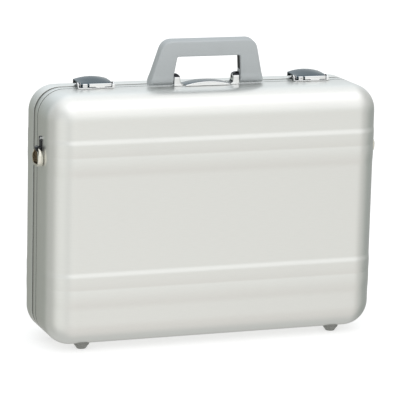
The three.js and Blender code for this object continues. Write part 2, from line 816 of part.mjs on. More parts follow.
function addStay(hand, side) {
  const at = (inset) => side * (halfLength - inset);
  const basePivot = [partingY - stayBarSetback, hingeZ + stayBarHeight];
  const lidPivot = [partingY + stayLidSetback, hingeZ + stayLidHeight];
  const joint = [basePivot[0] + stayLidSetback, basePivot[1] + stayLidHeight];
  const armIn = stayInset + stayThickness;
  const linkOut = armIn + stayGap;
  const linkIn = linkOut + stayThickness;
  const hole = rivetRadius + pinClearance;
  const rivet = (name, [y, z], from, to) => {
    const flange = rodX(rivetHeadRadius - fit, at(from), at(to - stayThickness - fit), y, z);
    const shank = rodX(rivetRadius, at(from), at(to + fit + 0.2), y, z);
    const head = rodX(rivetHeadRadius, at(to + fit), at(to + fit + rivetHeadThickness), y, z);
    addPiece(`${name}_${hand}`, union(flange, shank, head), 'steel');
  };
  rivet('stay_base_rivet', basePivot, frameThickness + fit, armIn);
  rivet('stay_lid_rivet', lidPivot, tongueInset + tongueThickness + fit, linkIn);
  const arm = stayBar(...basePivot, ...joint, at(stayInset), at(armIn));
  const armHole = rodX(hole, at(stayInset - 1), at(armIn + 1), ...basePivot);
  const stud = rodX(rivetRadius, at(stayInset + 0.2), at(linkIn + fit + 0.2), ...joint);
  const studHead = rodX(rivetHeadRadius, at(linkIn + fit), at(linkIn + fit + rivetHeadThickness), ...joint);
  addPiece(`stay_arm_${hand}`, union(arm.subtract(armHole), stud, studHead), 'steel');
  const link = stayBar(...lidPivot, ...joint, at(linkOut), at(linkIn));
  const lidHole = rodX(hole, at(linkOut - 1), at(linkIn + 1), ...lidPivot);
  const openHole = rodX(hole + fit, at(linkOut - 1), at(linkIn + 1), ...joint);
  addPiece(`stay_link_${hand}`, link.subtract(lidHole).subtract(openHole), 'steel');
}

// ---- What is fitted inside
const organizerThickness = 3;
const pocketThickness = 4.5;
const panelMargin = 48; // from the case outline to the organizer panel
const strapWidth = 25;
const strapThickness = 1.6;
const strapX = 120;
const strapMargin = 42;
const buckleThickness = 3;
const buckleHeight = 34;

function addOrganizer() {
  const halfPanel = halfLength - panelMargin;
  const lowZ = bottomZ + panelMargin;
  const highZ = topZ - panelMargin;
  const backY = liningFaceY - fit;
  const panelY = backY - organizerThickness;
  addPiece('organizer_panel', block(-halfPanel, halfPanel, panelY, backY, lowZ, highZ), 'leather');
  const pocketBack = panelY - fit;
  const pocketFront = pocketBack - pocketThickness;
  const middleZ = lowZ + (highZ - lowZ) * 0.58;
  const edge = 8;
  const pocket = (name, x0, x1, z0, z1) => {
    addPiece(name, block(x0, x1, pocketFront, pocketBack, z0, z1), 'leather');
  };
  pocket('document_pocket', -halfPanel + edge, halfPanel - edge, lowZ + edge, middleZ);
  pocket('card_pocket', -halfPanel + edge, -edge, middleZ + edge, highZ - 2 * edge);
  pocket('pen_holder', edge, halfPanel / 2, middleZ + edge, highZ - 2 * edge);
}

function addStraps() {
  const floorY = -liningFaceY + fit;
  const lowZ = bottomZ + strapMargin;
  const highZ = topZ - strapMargin;
  const middleZ = (lowZ + highZ) / 2;
  for (const [hand, x] of [
    ['left', -strapX],
    ['right', strapX],
  ]) {
    const half = strapWidth / 2;
    const strap = block(x - half, x + half, floorY, floorY + strapThickness, lowZ, highZ);
    addPiece(`strap_${hand}`, strap, 'leather');
    const buckleY = floorY + strapThickness + fit;
    const buckleHalf = half + 3;
    const buckle = block(
      x - buckleHalf,
      x + buckleHalf,
      buckleY,
      buckleY + buckleThickness,
      middleZ - buckleHeight / 2,
      middleZ + buckleHeight / 2,
    );
    addPiece(`strap_buckle_${hand}`, buckle, 'chrome');
  }
}

// ---- Assembly
addShells();
addFrames();
addLinings();
addFeet();
addHandle();
addHandlePlate();
addOrganizer();
addStraps();
for (const [hand, side] of [
  ['left', -1],
  ['right', 1],
]) {
  addHandleMount(hand, side);
  addHinge(hand, side * hingeX);
  addLatchBase(hand, side * latchX);
  addLatchLever(hand, side * latchX);
  addLatchKeeper(hand, side * latchX);
  addStrapRing(hand, side);
  addStay(hand, side);
}

export default attache;
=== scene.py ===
import json
import math
import bmesh
import bpy
from mathutils import Matrix, Vector


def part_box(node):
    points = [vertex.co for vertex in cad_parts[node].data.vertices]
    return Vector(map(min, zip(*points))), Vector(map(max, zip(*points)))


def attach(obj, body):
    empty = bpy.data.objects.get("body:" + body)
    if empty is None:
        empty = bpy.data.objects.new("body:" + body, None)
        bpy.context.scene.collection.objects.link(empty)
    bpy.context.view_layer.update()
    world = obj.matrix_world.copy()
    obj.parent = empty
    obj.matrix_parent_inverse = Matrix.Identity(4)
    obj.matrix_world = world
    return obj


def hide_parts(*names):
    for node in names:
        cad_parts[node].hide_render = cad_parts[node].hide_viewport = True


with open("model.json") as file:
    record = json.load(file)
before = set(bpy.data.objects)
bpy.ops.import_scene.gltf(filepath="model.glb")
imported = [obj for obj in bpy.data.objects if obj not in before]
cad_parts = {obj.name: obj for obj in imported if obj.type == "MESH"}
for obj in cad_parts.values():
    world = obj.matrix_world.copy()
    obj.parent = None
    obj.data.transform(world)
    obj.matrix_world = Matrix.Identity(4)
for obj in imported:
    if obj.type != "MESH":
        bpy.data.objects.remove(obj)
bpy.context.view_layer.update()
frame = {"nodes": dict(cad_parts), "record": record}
nodes = frame["nodes"]
groups = frame["record"]["behaviour"]["bodies"]
bodyOfNode = {node: body for body, members in groups.items() for node in members}
mm = 0.001
hands = (("left", -1), ("right", 1))


def onCircle(radius, degrees):
    angle = math.radians(degrees)
    return radius * math.cos(angle), radius * math.sin(angle)


def filletLoop(points, radius, steps=4):
    # rounds every corner of a flat closed outline
    loop = []
    count = len(points)
    for i in range(count):
        corner = Vector(points[i])
        toLast = Vector(points[i - 1]) - corner
        toNext = Vector(points[(i + 1) % count]) - corner
        angle = toLast.angle(toNext)
        if angle > math.radians(172):
            loop.append(corner)
            continue
        reach = min(radius / math.tan(angle / 2), toLast.length * 0.45, toNext.length * 0.45)
        first = corner + toLast.normalized() * reach
        last = corner + toNext.normalized() * reach
        for step in range(steps + 1):
            t = step / steps
            loop.append(first * (1 - t) ** 2 + corner * 2 * t * (1 - t) + last * t * t)
    return [tuple(p) for p in loop]


def addBmesh(target, extra):
    bmesh.ops.recalc_face_normals(extra, faces=extra.faces)
    holder = bpy.data.meshes.new("holder")
    extra.to_mesh(holder)
    extra.free()
    target.from_mesh(holder)
    bpy.data.meshes.remove(holder)


def bridge(bm, near, far):
    # faces between two rings of equal length
    for i in range(len(near)):
        j = (i + 1) % len(near)
        bm.faces.new((near[i], near[j], far[j], far[i]))


def addPrism(target, outline, axis, low, high, bevel=0.0, segments=3, sharpOver=30):
    # outline points are the other two axes in order; bevel rounds the edges
    place = {
        "x": lambda a, b, along: (along, a, b),
        "y": lambda a, b, along: (a, along, b),
        "z": lambda a, b, along: (a, b, along),
    }[axis]
    bm = bmesh.new()
    lower = [bm.verts.new(place(a, b, low)) for a, b in outline]
    upper = [bm.verts.new(place(a, b, high)) for a, b in outline]
    bm.faces.new(lower)
    bm.faces.new(upper)
    bridge(bm, lower, upper)
    bmesh.ops.recalc_face_normals(bm, faces=bm.faces)
    if bevel > 0:
        bevelSharp(bm, sharpOver, bevel, segments)
    addBmesh(target, bm)


def bevelSharp(bm, sharpOver, width, segments):
    sharp = [e for e in bm.edges if e.calc_face_angle(0) > math.radians(sharpOver)]
    options = {"segments": segments, "profile": 0.5, "affect": "EDGES", "clamp_overlap": True}
    bmesh.ops.bevel(bm, geom=sharp, offset=width, **options)


def rectangle(low, high, inset=0.0):
    a0, b0, a1, b1 = low[0] + inset, low[1] + inset, high[0] - inset, high[1] - inset
    return [(a0, b0), (a1, b0), (a1, b1), (a0, b1)]


def addBlock(target, low, high, bevel=0.0, segments=3):
    addPrism(target, rectangle(low[:2], high[:2]), "z", low[2], high[2], bevel, segments)


def addTurned(target, profile, axis, centre, steps=32):
    # profile is (radius, along) pairs that start and end on the axis, or a closed ring if none lies on it
    bm = bmesh.new()
    rings = []
    for radius, along in profile:
        ring = []
        turns = 1 if radius < 1e-7 else steps
        for i in range(turns):
            a, b = onCircle(radius, 360 * i / steps)
            point = {"x": (along, a, b), "y": (a, along, b), "z": (a, b, along)}[axis]
            ring.append(bm.verts.new(Vector(point) + Vector(centre)))
        rings.append(ring)
    closed = profile[0][0] > 1e-7
    pairs = list(zip(rings, rings[1:])) + ([(rings[-1], rings[0])] if closed else [])
    for near, far in pairs:
        for i in range(steps):
            j = (i + 1) % steps
            corners = [near[i % len(near)], near[j % len(near)], far[j % len(far)], far[i % len(far)]]
            bm.faces.new(list(dict.fromkeys(corners)))
    addBmesh(target, bm)


def addLoft(target, rings, closed=False):
    # rings of equal length; the ends are capped unless the loft closes on itself
    bm = bmesh.new()
    verts = [[bm.verts.new(p) for p in ring] for ring in rings]
    pairs = list(zip(verts, verts[1:])) + ([(verts[-1], verts[0])] if closed else [])
    for near, far in pairs:
        bridge(bm, near, far)
    if not closed:
        bm.faces.new(verts[0])
        bm.faces.new(verts[-1])
    addBmesh(target, bm)


def roundedRectangle(a0, a1, b0, b1, radius, steps=4):
    radius = min(radius, (a1 - a0) * 0.49, (b1 - b0) * 0.49)
    loop = []
    for a, b, start in ((a1, b1, 0), (a0, b1, 90), (a0, b0, 180), (a1, b0, 270)):
        centreA = a - radius if a == a1 else a + radius
        centreB = b - radius if b == b1 else b + radius
        for step in range(steps + 1):
            across, along = onCircle(radius, start + 90 * step / steps)
            loop.append((centreA + across, centreB + along))
    return loop


def cutWith(bm, cutter):
    # takes the cutter's volume out of a closed mesh
    pieces = []
    for label, source in (("keep", bm), ("cutter", cutter)):
        mesh = bpy.data.meshes.new(label)
        source.to_mesh(mesh)
        source.free()
        obj = bpy.data.objects.new(label, mesh)
        bpy.context.scene.collection.objects.link(obj)
        pieces.append(obj)
    keep, tool = pieces
    modifier = keep.modifiers.new("cut", "BOOLEAN")
    modifier.operation = "DIFFERENCE"
    modifier.solver = "EXACT"
    modifier.object = tool
    view = bpy.context.evaluated_depsgraph_get()
    result = bmesh.new()
    result.from_mesh(keep.evaluated_get(view).to_mesh())
    keep.evaluated_get(view).to_mesh_clear()
    for obj in pieces:
        mesh = obj.data
        bpy.data.objects.remove(obj)
        bpy.data.meshes.remove(mesh)
    return result


def finishPiece(bm, name, finish, node=None, body=None, sharpAngle=38, facing=None):
    # facing is (finish, test) for the faces that get another finish; it paints light and shade by the way a
    # face points
    mesh = bpy.data.meshes.new(name)
    bm.to_mesh(mesh)
    bm.free()
    for face in mesh.polygons:
        face.use_smooth = True
    mesh.set_sharp_from_angle(angle=math.radians(sharpAngle))
    obj = bpy.data.objects.new(name, mesh)
    bpy.context.scene.collection.objects.link(obj)
    mesh.materials.append(finish)
    if facing:
        mesh.materials.append(facing[0])
        for face in mesh.polygons:
            face.material_index = int(facing[1](face))
    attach(obj, body or bodyOfNode[node])
    if node:
        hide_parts(node)
    return obj


def addNode(tree, kind, settings=None, values=None):
    node = tree.nodes.new(kind)
    for key, value in (settings or {}).items():
        setattr(node, key, value)
    for key, value in (values or {}).items():
        if hasattr(value, "links"):
            tree.links.new(value, node.inputs[key])
        else:
            node.inputs[key].default_value = value
    return node


def mathNode(tree, operation, first, second=0.0, clamp=False):
    settings = {"operation": operation, "use_clamp": clamp}
    return addNode(tree, "ShaderNodeMath", settings, {0: first, 1: second}).outputs[0]


def mixColour(tree, factor, first, second, blend="MIX"):
    settings = {"data_type": "RGBA", "blend_type": blend}
    return addNode(tree, "ShaderNodeMix", settings, {0: factor, 6: first, 7: second}).outputs[2]


def layer(tree, base, mask, amount, colour):
    # lays a colour over the base where the mask shows, by the given amount
    return mixColour(tree, mathNode(tree, "MULTIPLY", mask, amount), base, colour)


def objectPlace(tree):
    return addNode(tree, "ShaderNodeTexCoord").outputs["Object"]


def noiseAt(tree, place, scale, detail):
    return addNode(tree, "ShaderNodeTexNoise", None, {"Vector": place, "Scale": scale, "Detail": detail})


def rampValue(tree, value, low, high, toLow=0.0, toHigh=1.0):
    settings = {"interpolation_type": "SMOOTHSTEP"}
    values = {"Value": value, "From Min": low, "From Max": high, "To Min": toLow, "To Max": toHigh}
    return addNode(tree, "ShaderNodeMapRange", settings, values).outputs["Result"]


def newGroup(name, inputs, outputs):
    # inputs are names with their usual value; the outputs are all plain values
    tree = bpy.data.node_groups.new(name, "ShaderNodeTree")
    for label, value in inputs.items():
        kind = "NodeSocketVector" if isinstance(value, tuple) else "NodeSocketFloat"
        tree.interface.new_socket(label, in_out="INPUT", socket_type=kind).default_value = value
    for label in outputs:
        tree.interface.new_socket(label, in_out="OUTPUT", socket_type="NodeSocketFloat")
    return tree, tree.nodes.new("NodeGroupInput").outputs, tree.nodes.new("NodeGroupOutput").inputs


def buildGrainGroup():
    # fine speckle; stretch pulls it into brush lines
    inputs = {"Scale": 900.0, "Stretch": (1, 1, 1), "Detail": 3.0}
    tree, given, out = newGroup("metalGrain", inputs, ["Height", "Tone"])
    values = {0: objectPlace(tree), 1: given["Stretch"]}
    pulled = addNode(tree, "ShaderNodeVectorMath", {"operation": "MULTIPLY"}, values).outputs[0]
    noise = noiseAt(tree, pulled, given["Scale"], given["Detail"]).outputs[0]
    tree.links.new(noise, out["Height"])
    tree.links.new(rampValue(tree, noise, 0.32, 0.68), out["Tone"])
    return tree


def buildCloudGroup():
    # slow patches of handling: wide, soft, low contrast
    tree, given, out = newGroup("handlingClouds", {"Scale": 9.0, "Cover": 0.5}, ["Mask"])
    wide = noiseAt(tree, objectPlace(tree), given["Scale"], 4.0)
    wide.inputs["Roughness"].default_value = 0.62
    low = mathNode(tree, "SUBTRACT", 1.0, given["Cover"])
    high = mathNode(tree, "ADD", low, 0.3)
    tree.links.new(rampValue(tree, wide.outputs[0], low, high), out["Mask"])
    return tree


def buildEdgeGroup():
    # where an edge turns: bright or dark lines along it. Bright lines are wear, and painted highlight on the
    # handle; dark lines are painted edge shade
    tree, given, out = newGroup("edgeWearAndShade", {"Radius": 0.001, "Break": 60.0}, ["Mask"])
    rounded = addNode(tree, "ShaderNodeBevel", {"samples": 4}, {"Radius": given["Radius"]}).outputs[0]
    values = {0: rounded, 1: addNode(tree, "ShaderNodeNewGeometry").outputs["Normal"]}
    along = addNode(tree, "ShaderNodeVectorMath", {"operation": "DOT_PRODUCT"}, values).outputs["Value"]
    turn = rampValue(tree, mathNode(tree, "SUBTRACT", 1.0, along), 0.01, 0.16)
    chips = noiseAt(tree, objectPlace(tree), given["Break"], 3.0).outputs[0]
    kept = rampValue(tree, chips, 0.34, 0.6, 0.25, 1.0)
    tree.links.new(mathNode(tree, "MULTIPLY", turn, kept), out["Mask"])
    return tree


def buildScratchGroup():
    # sparse hairlines: a distorted wave kept only where it peaks and where the patches allow it
    tree, given, out = newGroup("hairlines", {"Scale": 60.0, "Turn": 0.6, "Amount": 0.4}, ["Mask"])
    values = {"Vector": objectPlace(tree), "Axis": (0.3, 1.0, 0.2), "Angle": given["Turn"]}
    turned = addNode(tree, "ShaderNodeVectorRotate", {"rotation_type": "AXIS_ANGLE"}, values).outputs[0]
    values = {"Vector": turned, "Scale": given["Scale"], "Distortion": 6.0, "Detail": 2.0}
    wave = addNode(tree, "ShaderNodeTexWave", {"wave_type": "BANDS", "bands_direction": "X"}, values)
    wave.inputs["Detail Scale"].default_value = 0.6
    lines = rampValue(tree, wave.outputs["Fac"], 0.985, 1.0)
    sparse = rampValue(tree, noiseAt(tree, turned, 14.0, 2.0).outputs[0], 0.5, 0.66)
    kept = mathNode(tree, "MULTIPLY", lines, sparse)
    tree.links.new(mathNode(tree, "MULTIPLY", kept, given["Amount"]), out["Mask"])
    return tree


def buildDustGroup():
    # dust settles on what faces up, thinned by noise
    tree, given, out = newGroup("settledDust", {"Scale": 240.0}, ["Mask"])
    normal = addNode(tree, "ShaderNodeNewGeometry").outputs["Normal"]
    facing = addNode(tree, "ShaderNodeSeparateXYZ", None, {0: normal}).outputs[2]
    specks = noiseAt(tree, objectPlace(tree), given["Scale"], 5.0).outputs[0]
    thinned = rampValue(tree, specks, 0.5, 0.75)
    tree.links.new(mathNode(tree, "MULTIPLY", rampValue(tree, facing, 0.55, 1.0), thinned), out["Mask"])
    return tree


def buildWeaveGroup():
    # over and under threads in the XZ plane
    tree, given, out = newGroup("threadWeave", {"Threads": 260.0}, ["Height", "Tone"])
    place = objectPlace(tree)
    values = {"Vector": place, "Scale": given["Threads"], "Distortion": 0.6, "Detail": 1.0}
    waves = []
    for direction in ("X", "Z"):
        settings = {"wave_type": "BANDS", "bands_direction": direction}
        waves.append(addNode(tree, "ShaderNodeTexWave", settings, values).outputs["Fac"])
    height = mathNode(tree, "MULTIPLY", waves[0], waves[1])
    tree.links.new(height, out["Height"])
    nap = mathNode(tree, "MULTIPLY", noiseAt(tree, place, 90.0, 5.0).outputs[0], 0.6)
    tree.links.new(mathNode(tree, "ADD", mathNode(tree, "MULTIPLY", height, 0.5), nap), out["Tone"])
    return tree


def buildLeatherGroup():
    # pebbles between fine creases, flatter where the hide is worn
    tree, given, out = newGroup("leatherGrain", {"Scale": 520.0}, ["Height", "Tone"])
    place = objectPlace(tree)
    moved = mixColour(tree, 0.004, place, noiseAt(tree, place, 120.0, 2.0).outputs["Color"])
    values = {"Vector": moved, "Scale": given["Scale"]}
    cells = addNode(tree, "ShaderNodeTexVoronoi", {"feature": "DISTANCE_TO_EDGE"}, values)
    height = rampValue(tree, cells.outputs["Distance"], 0.0, 0.22)
    tree.links.new(height, out["Height"])
    worn = rampValue(tree, noiseAt(tree, place, 18.0, 4.0).outputs[0], 0.3, 0.75, 0.55, 1.0)
    tree.links.new(mathNode(tree, "MULTIPLY", height, worn), out["Tone"])
    return tree


print("building shared shader groups")
grainGroup = buildGrainGroup()
cloudGroup = buildCloudGroup()
edgeGroup = buildEdgeGroup()
scratchGroup = buildScratchGroup()
dustGroup = buildDustGroup()
weaveGroup = buildWeaveGroup()
leatherGroup = buildLeatherGroup()


def useGroup(tree, group, values=None):
    return addNode(tree, "ShaderNodeGroup", {"node_tree": group}, values).outputs


def newMaterial(name, metallic, roughness, extra=None):
    mat = bpy.data.materials.new(name)
    mat.use_nodes = True
    shader = mat.node_tree.nodes["Principled BSDF"]
    for key, value in {"Metallic": metallic, "Roughness": roughness, **(extra or {})}.items():
        shader.inputs[key].default_value = value
    return mat, mat.node_tree, shader


def addBump(tree, shader, height, strength, distance):
    values = {"Height": height, "Strength": strength, "Distance": distance}
    tree.links.new(addNode(tree, "ShaderNodeBump", None, values).outputs[0], shader.inputs["Normal"])


def spreadRoughness(tree, mask, spread, start):
    rough = addNode(tree, "ShaderNodeMath", {"operation": "MULTIPLY_ADD"}, {0: mask, 1: spread, 2: start})
    return rough.outputs[0]


def metalMaterial(name, differences):
    # one recipe for every bare metal; the dictionary says how it differs
    look = {**commonLook, **differences}
    mat, tree, shader = newMaterial(name, 1.0, look["roughness"])
    grain = useGroup(tree, grainGroup, {"Scale": look["grainScale"], "Stretch": look["stretch"]})
    clouds = useGroup(tree, cloudGroup, {"Scale": look["cloudScale"], "Cover": 0.5})["Mask"]
    edges = useGroup(tree, edgeGroup, {"Radius": look["edgeRadius"]})["Mask"]
    lines = useGroup(tree, scratchGroup, {"Amount": look["scratches"]})["Mask"]
    dust = useGroup(tree, dustGroup)["Mask"]
    base = layer(tree, look["colour"], clouds, look["cloudAmount"], look["cloudColour"])
    base = layer(tree, base, grain["Tone"], look["grainAmount"], look["grainColour"])
    base = layer(tree, base, edges, look["edgeAmount"], look["edgeColour"])
    base = layer(tree, base, dust, look["dust"], (0.55, 0.54, 0.52, 1))
    tree.links.new(base, shader.inputs["Base Color"])
    rough = spreadRoughness(tree, clouds, look["roughnessSpread"], look["roughness"])
    rough = mathNode(tree, "ADD", rough, mathNode(tree, "MULTIPLY", lines, 0.25))
    rough = mathNode(tree, "ADD", rough, mathNode(tree, "MULTIPLY", dust, look["dust"] * 0.6), clamp=True)
    tree.links.new(rough, shader.inputs["Roughness"])
    height = mathNode(tree, "SUBTRACT", grain["Height"], mathNode(tree, "MULTIPLY", lines, 2.0))
    addBump(tree, shader, height, look["bump"], look["bumpDepth"])
    return mat


commonLook = {
    "stretch": (1, 1, 1), "cloudScale": 60.0, "cloudAmount": 0.5, "edgeAmount": 0.3, "scratches": 0.3,
    "dust": 0.05, "bump": 0.05, "bumpDepth": 0.0001,
}
metalLooks = {
    "satinShell": {
        "colour": (0.85, 0.855, 0.835, 1), "roughness": 0.35, "roughnessSpread": 0.05,
        "grainColour": (0.74, 0.75, 0.73, 1), "grainAmount": 0.16, "grainScale": 240.0,
        "cloudColour": (0.83, 0.835, 0.82, 1), "cloudAmount": 0.35, "cloudScale": 7.0,
        "edgeColour": (0.93, 0.93, 0.92, 1), "edgeAmount": 0.35, "edgeRadius": 0.0009,
        "stretch": (0.3, 0.3, 8), "scratches": 0.12, "bump": 0.08, "bumpDepth": 0.0002,
    },
    "frameBand": {
        "colour": (0.80, 0.81, 0.79, 1), "roughness": 0.29, "roughnessSpread": 0.06,
        "grainColour": (0.66, 0.67, 0.66, 1), "grainAmount": 0.3, "grainScale": 260.0,
        "cloudColour": (0.76, 0.77, 0.76, 1), "cloudAmount": 0.3, "cloudScale": 9.0,
        "edgeColour": (0.95, 0.95, 0.94, 1), "edgeAmount": 0.5, "edgeRadius": 0.0008,
        "stretch": (0.3, 14, 0.3), "scratches": 0.2, "bump": 0.12, "bumpDepth": 0.0002,
    },
    "brightChrome": {
        "colour": (0.86, 0.87, 0.88, 1), "roughness": 0.07, "roughnessSpread": 0.07,
        "grainColour": (0.7, 0.71, 0.73, 1), "grainAmount": 0.06, "grainScale": 1800.0,
        "cloudColour": (0.78, 0.8, 0.82, 1), "cloudAmount": 0.3,
        # near-black edge lines: painted dark reflection along every edge where the chrome turns
        "edgeColour": (0.05, 0.055, 0.06, 1), "edgeAmount": 0.85, "edgeRadius": 0.0007,
        "scratches": 0.35, "dust": 0.04, "bump": 0.03,
    },
    # chrome painted dark where its surface would reflect a dark studio: painted dark reflection, with wide
    # painted dark edge shade
    "paintedDarkReflection": {
        "colour": (0.088, 0.118, 0.137, 1), "roughness": 0.16, "roughnessSpread": 0.08,
        "grainColour": (0.20, 0.23, 0.26, 1), "grainAmount": 0.14, "grainScale": 1700.0,
        "cloudColour": (0.07, 0.092, 0.11, 1), "cloudAmount": 0.4, "cloudScale": 45.0,
        "edgeColour": (0.012, 0.014, 0.016, 1), "edgeAmount": 0.95, "edgeRadius": 0.002, "bump": 0.04,
    },
    "hingeSteel": {
        "colour": (0.52, 0.53, 0.54, 1), "roughness": 0.33, "roughnessSpread": 0.12,
        "grainColour": (0.38, 0.39, 0.40, 1), "grainAmount": 0.35, "grainScale": 420.0,
        "cloudColour": (0.44, 0.44, 0.44, 1), "cloudScale": 40.0,
        "edgeColour": (0.82, 0.82, 0.81, 1), "edgeAmount": 0.6, "edgeRadius": 0.0006,
        "stretch": (0.4, 6, 6), "scratches": 0.5, "bump": 0.15, "bumpDepth": 0.0002,
    },
    # near-black metal: the handle pins' dark finish, and painted shade and painted dark reflection on bracket
    # tops, latch cheeks and ring posts
    "blackNickelAndShade": {
        "colour": (0.035, 0.037, 0.042, 1), "roughness": 0.2, "roughnessSpread": 0.1,
        "grainColour": (0.07, 0.072, 0.08, 1), "grainAmount": 0.2, "grainScale": 1600.0,
        "cloudColour": (0.02, 0.021, 0.024, 1),
        "edgeColour": (0.2, 0.21, 0.22, 1), "edgeAmount": 0.6, "edgeRadius": 0.0005,
    },
    "agedNickel": {
        "colour": (0.86, 0.84, 0.76, 1), "roughness": 0.11, "roughnessSpread": 0.1,
        "grainColour": (0.6, 0.55, 0.45, 1), "grainAmount": 0.15, "grainScale": 1500.0,
        "cloudColour": (0.30, 0.25, 0.17, 1), "cloudAmount": 0.6, "cloudScale": 150.0,
        # dark edge lines: painted edge shade on the ring
        "edgeColour": (0.08, 0.07, 0.05, 1), "edgeRadius": 0.0008, "dust": 0.04,
    },
    # dark brown for the ring's inward faces: a tarnished brown and painted shade inside the ring
    "tarnishAndShade": {
        "colour": (0.16, 0.125, 0.08, 1), "roughness": 0.3, "roughnessSpread": 0.15,
        "grainColour": (0.3, 0.24, 0.16, 1), "grainAmount": 0.4, "grainScale": 900.0,
        "cloudColour": (0.05, 0.038, 0.025, 1), "cloudAmount": 0.8, "cloudScale": 180.0,
        "edgeColour": (0.4, 0.36, 0.28, 1), "edgeRadius": 0.0006, "dust": 0.04, "bump": 0.1,
    },
}


def handleMaterial():
    mat, tree, shader = newMaterial("handleGrey", 0.35, 0.46)
    grain = useGroup(tree, grainGroup, {"Scale": 1300.0})
    clouds = useGroup(tree, cloudGroup, {"Scale": 22.0, "Cover": 0.52})["Mask"]
    edges = useGroup(tree, edgeGroup, {"Radius": 0.0014})["Mask"]
    base = layer(tree, (0.47, 0.50, 0.515, 1), clouds, 0.5, (0.43, 0.455, 0.465, 1))
    base = layer(tree, base, grain["Tone"], 0.2, (0.53, 0.56, 0.57, 1))
    # lighter edges: painted highlight along the handle's edges
    base = layer(tree, base, edges, 0.45, (0.72, 0.75, 0.76, 1))
    tree.links.new(base, shader.inputs["Base Color"])
    tree.links.new(spreadRoughness(tree, clouds, -0.07, 0.47), shader.inputs["Roughness"])
    addBump(tree, shader, grain["Height"], 0.12, 0.0002)
    return mat


def rubberMaterial(name, colour, pale, roughness, paintedEdgeShade=None):
    mat, tree, shader = newMaterial(name, 0.0, roughness)
    grain = useGroup(tree, grainGroup, {"Scale": 1100.0})
    clouds = useGroup(tree, cloudGroup, {"Scale": 30.0})["Mask"]
    edges = useGroup(tree, edgeGroup, {"Radius": 0.0009})["Mask"]
    dust = useGroup(tree, dustGroup)["Mask"]
    base = layer(tree, colour, clouds, 0.5, pale)
    base = layer(tree, base, edges, 0.9 if paintedEdgeShade else 0.4, paintedEdgeShade or pale)
    base = layer(tree, base, dust, 0.25, (0.4, 0.39, 0.37, 1))
    tree.links.new(base, shader.inputs["Base Color"])
    rough = spreadRoughness(tree, grain["Tone"], 0.12, roughness - 0.06)
    tree.links.new(rough, shader.inputs["Roughness"])
    addBump(tree, shader, grain["Height"], 0.25, 0.0003)
    return mat


def clothMaterial():
    mat, tree, shader = newMaterial("liningCloth", 0.0, 0.95, {"Sheen Weight": 0.25, "Sheen Roughness": 0.5})
    weave = useGroup(tree, weaveGroup)
    base = mixColour(tree, weave["Tone"], (0.028, 0.03, 0.034, 1), (0.085, 0.09, 0.10, 1))
    tree.links.new(base, shader.inputs["Base Color"])
    addBump(tree, shader, weave["Height"], 0.5, 0.0004)
    return mat


def leatherMaterial():
    mat, tree, shader = newMaterial("blackLeather", 0.0, 0.55)
    hide = useGroup(tree, leatherGroup)
    edges = useGroup(tree, edgeGroup, {"Radius": 0.001})["Mask"]
    base = mixColour(tree, hide["Tone"], (0.012, 0.011, 0.010, 1), (0.045, 0.04, 0.036, 1))
    base = layer(tree, base, edges, 0.5, (0.10, 0.085, 0.07, 1))
    tree.links.new(base, shader.inputs["Base Color"])
    tree.links.new(spreadRoughness(tree, hide["Height"], -0.16, 0.66), shader.inputs["Roughness"])
    addBump(tree, shader, hide["Height"], 0.4, 0.0003)
    return mat


def threadMaterial():
    mat, tree, shader = newMaterial("waxedThread", 0.0, 0.6)
    grain = useGroup(tree, grainGroup, {"Scale": 2400.0, "Stretch": (1, 1, 3)})
    base = mixColour(tree, grain["Tone"], (0.16, 0.155, 0.15, 1), (0.26, 0.25, 0.24, 1))
    tree.links.new(base, shader.inputs["Base Color"])
    addBump(tree, shader, grain["Height"], 0.4, 0.0002)
    return mat


print("building materials")
metals = {name: metalMaterial(name, look) for name, look in metalLooks.items()}
satinShell, frameBand, brightChrome, paintedDarkReflection = list(metals.values())[:4]
hingeSteel, blackNickelAndShade, agedNickel, tarnishAndShade = list(metals.values())[4:]
handleGrey = handleMaterial()
gasketGrey = rubberMaterial("gasketGrey", (0.085, 0.09, 0.08, 1), (0.13, 0.135, 0.12, 1), 0.6)
inlayBlack = rubberMaterial("inlayBlack", (0.006, 0.006, 0.007, 1), (0.014, 0.014, 0.015, 1), 0.5)
footColours = (0.2, 0.203, 0.19, 1), (0.15, 0.153, 0.143, 1)
# near-black edges on the feet: painted shade
footGrey = rubberMaterial("footGrey", *footColours, 0.45, paintedEdgeShade=(0.01, 0.01, 0.01, 1))
liningCloth = clothMaterial()
blackLeather = leatherMaterial()
waxedThread = threadMaterial()


case = {
    "cornerRadius": 35 * mm,
    "edgeRadius": 32 * mm,
    "sheet": 1.6 * mm,
    "ribHeight": 1.4 * mm,
    "cornerSteps": 20,
    "edgeSteps": 18,
    "rowStep": 1.0 * mm,  # rows across the ribs
    "rimRoll": 0.2 * mm,  # the shell's rim is rolled over this much
    "seamSetback": 2.4 * mm,  # the front shell stops short of the band by this much
    "rimShadeStripWidth": 1.9 * mm,  # dark strip on the lid's rim, painted shade along the parting line
    "lining": 1.4 * mm,
}
rib = {
    "lowerRise": 77.5 * mm,  # bottom wall to the groove in the middle of the lower pair
    "upperDrop": 79.7 * mm,  # top wall to the groove of the upper pair
    "pairAbove": 24.7 * mm,  # groove to the top of its pair
    "shoulder": 8.5 * mm,  # the crisp upper shoulder
    "groove": 24.2 * mm,  # top of the pair to the shallow valley between the ribs
    "grooveHalf": 11 * mm,
    "grooveDepth": 0.42,
    "fallStart": 34 * mm,
    "fallSteepest": 45.5 * mm,
    "fallEnd": 53 * mm,
}
shellLow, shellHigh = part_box("front_shell")
bandLow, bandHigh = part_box("front_frame")
halfLength = shellHigh.x
bottomZ, topZ = shellLow.z, shellHigh.z
faceY = -shellLow.y - case["ribHeight"]
frontRimY = bandHigh.y
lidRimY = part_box("back_shell")[0].y
partingY = (frontRimY + lidRimY) / 2
coreX = halfLength - case["cornerRadius"]
coreLowZ = bottomZ + case["cornerRadius"]
coreHighZ = topZ - case["cornerRadius"]
ribGrooves = (bottomZ + rib["lowerRise"], topZ - rib["upperDrop"])
fit = 0.3 * mm


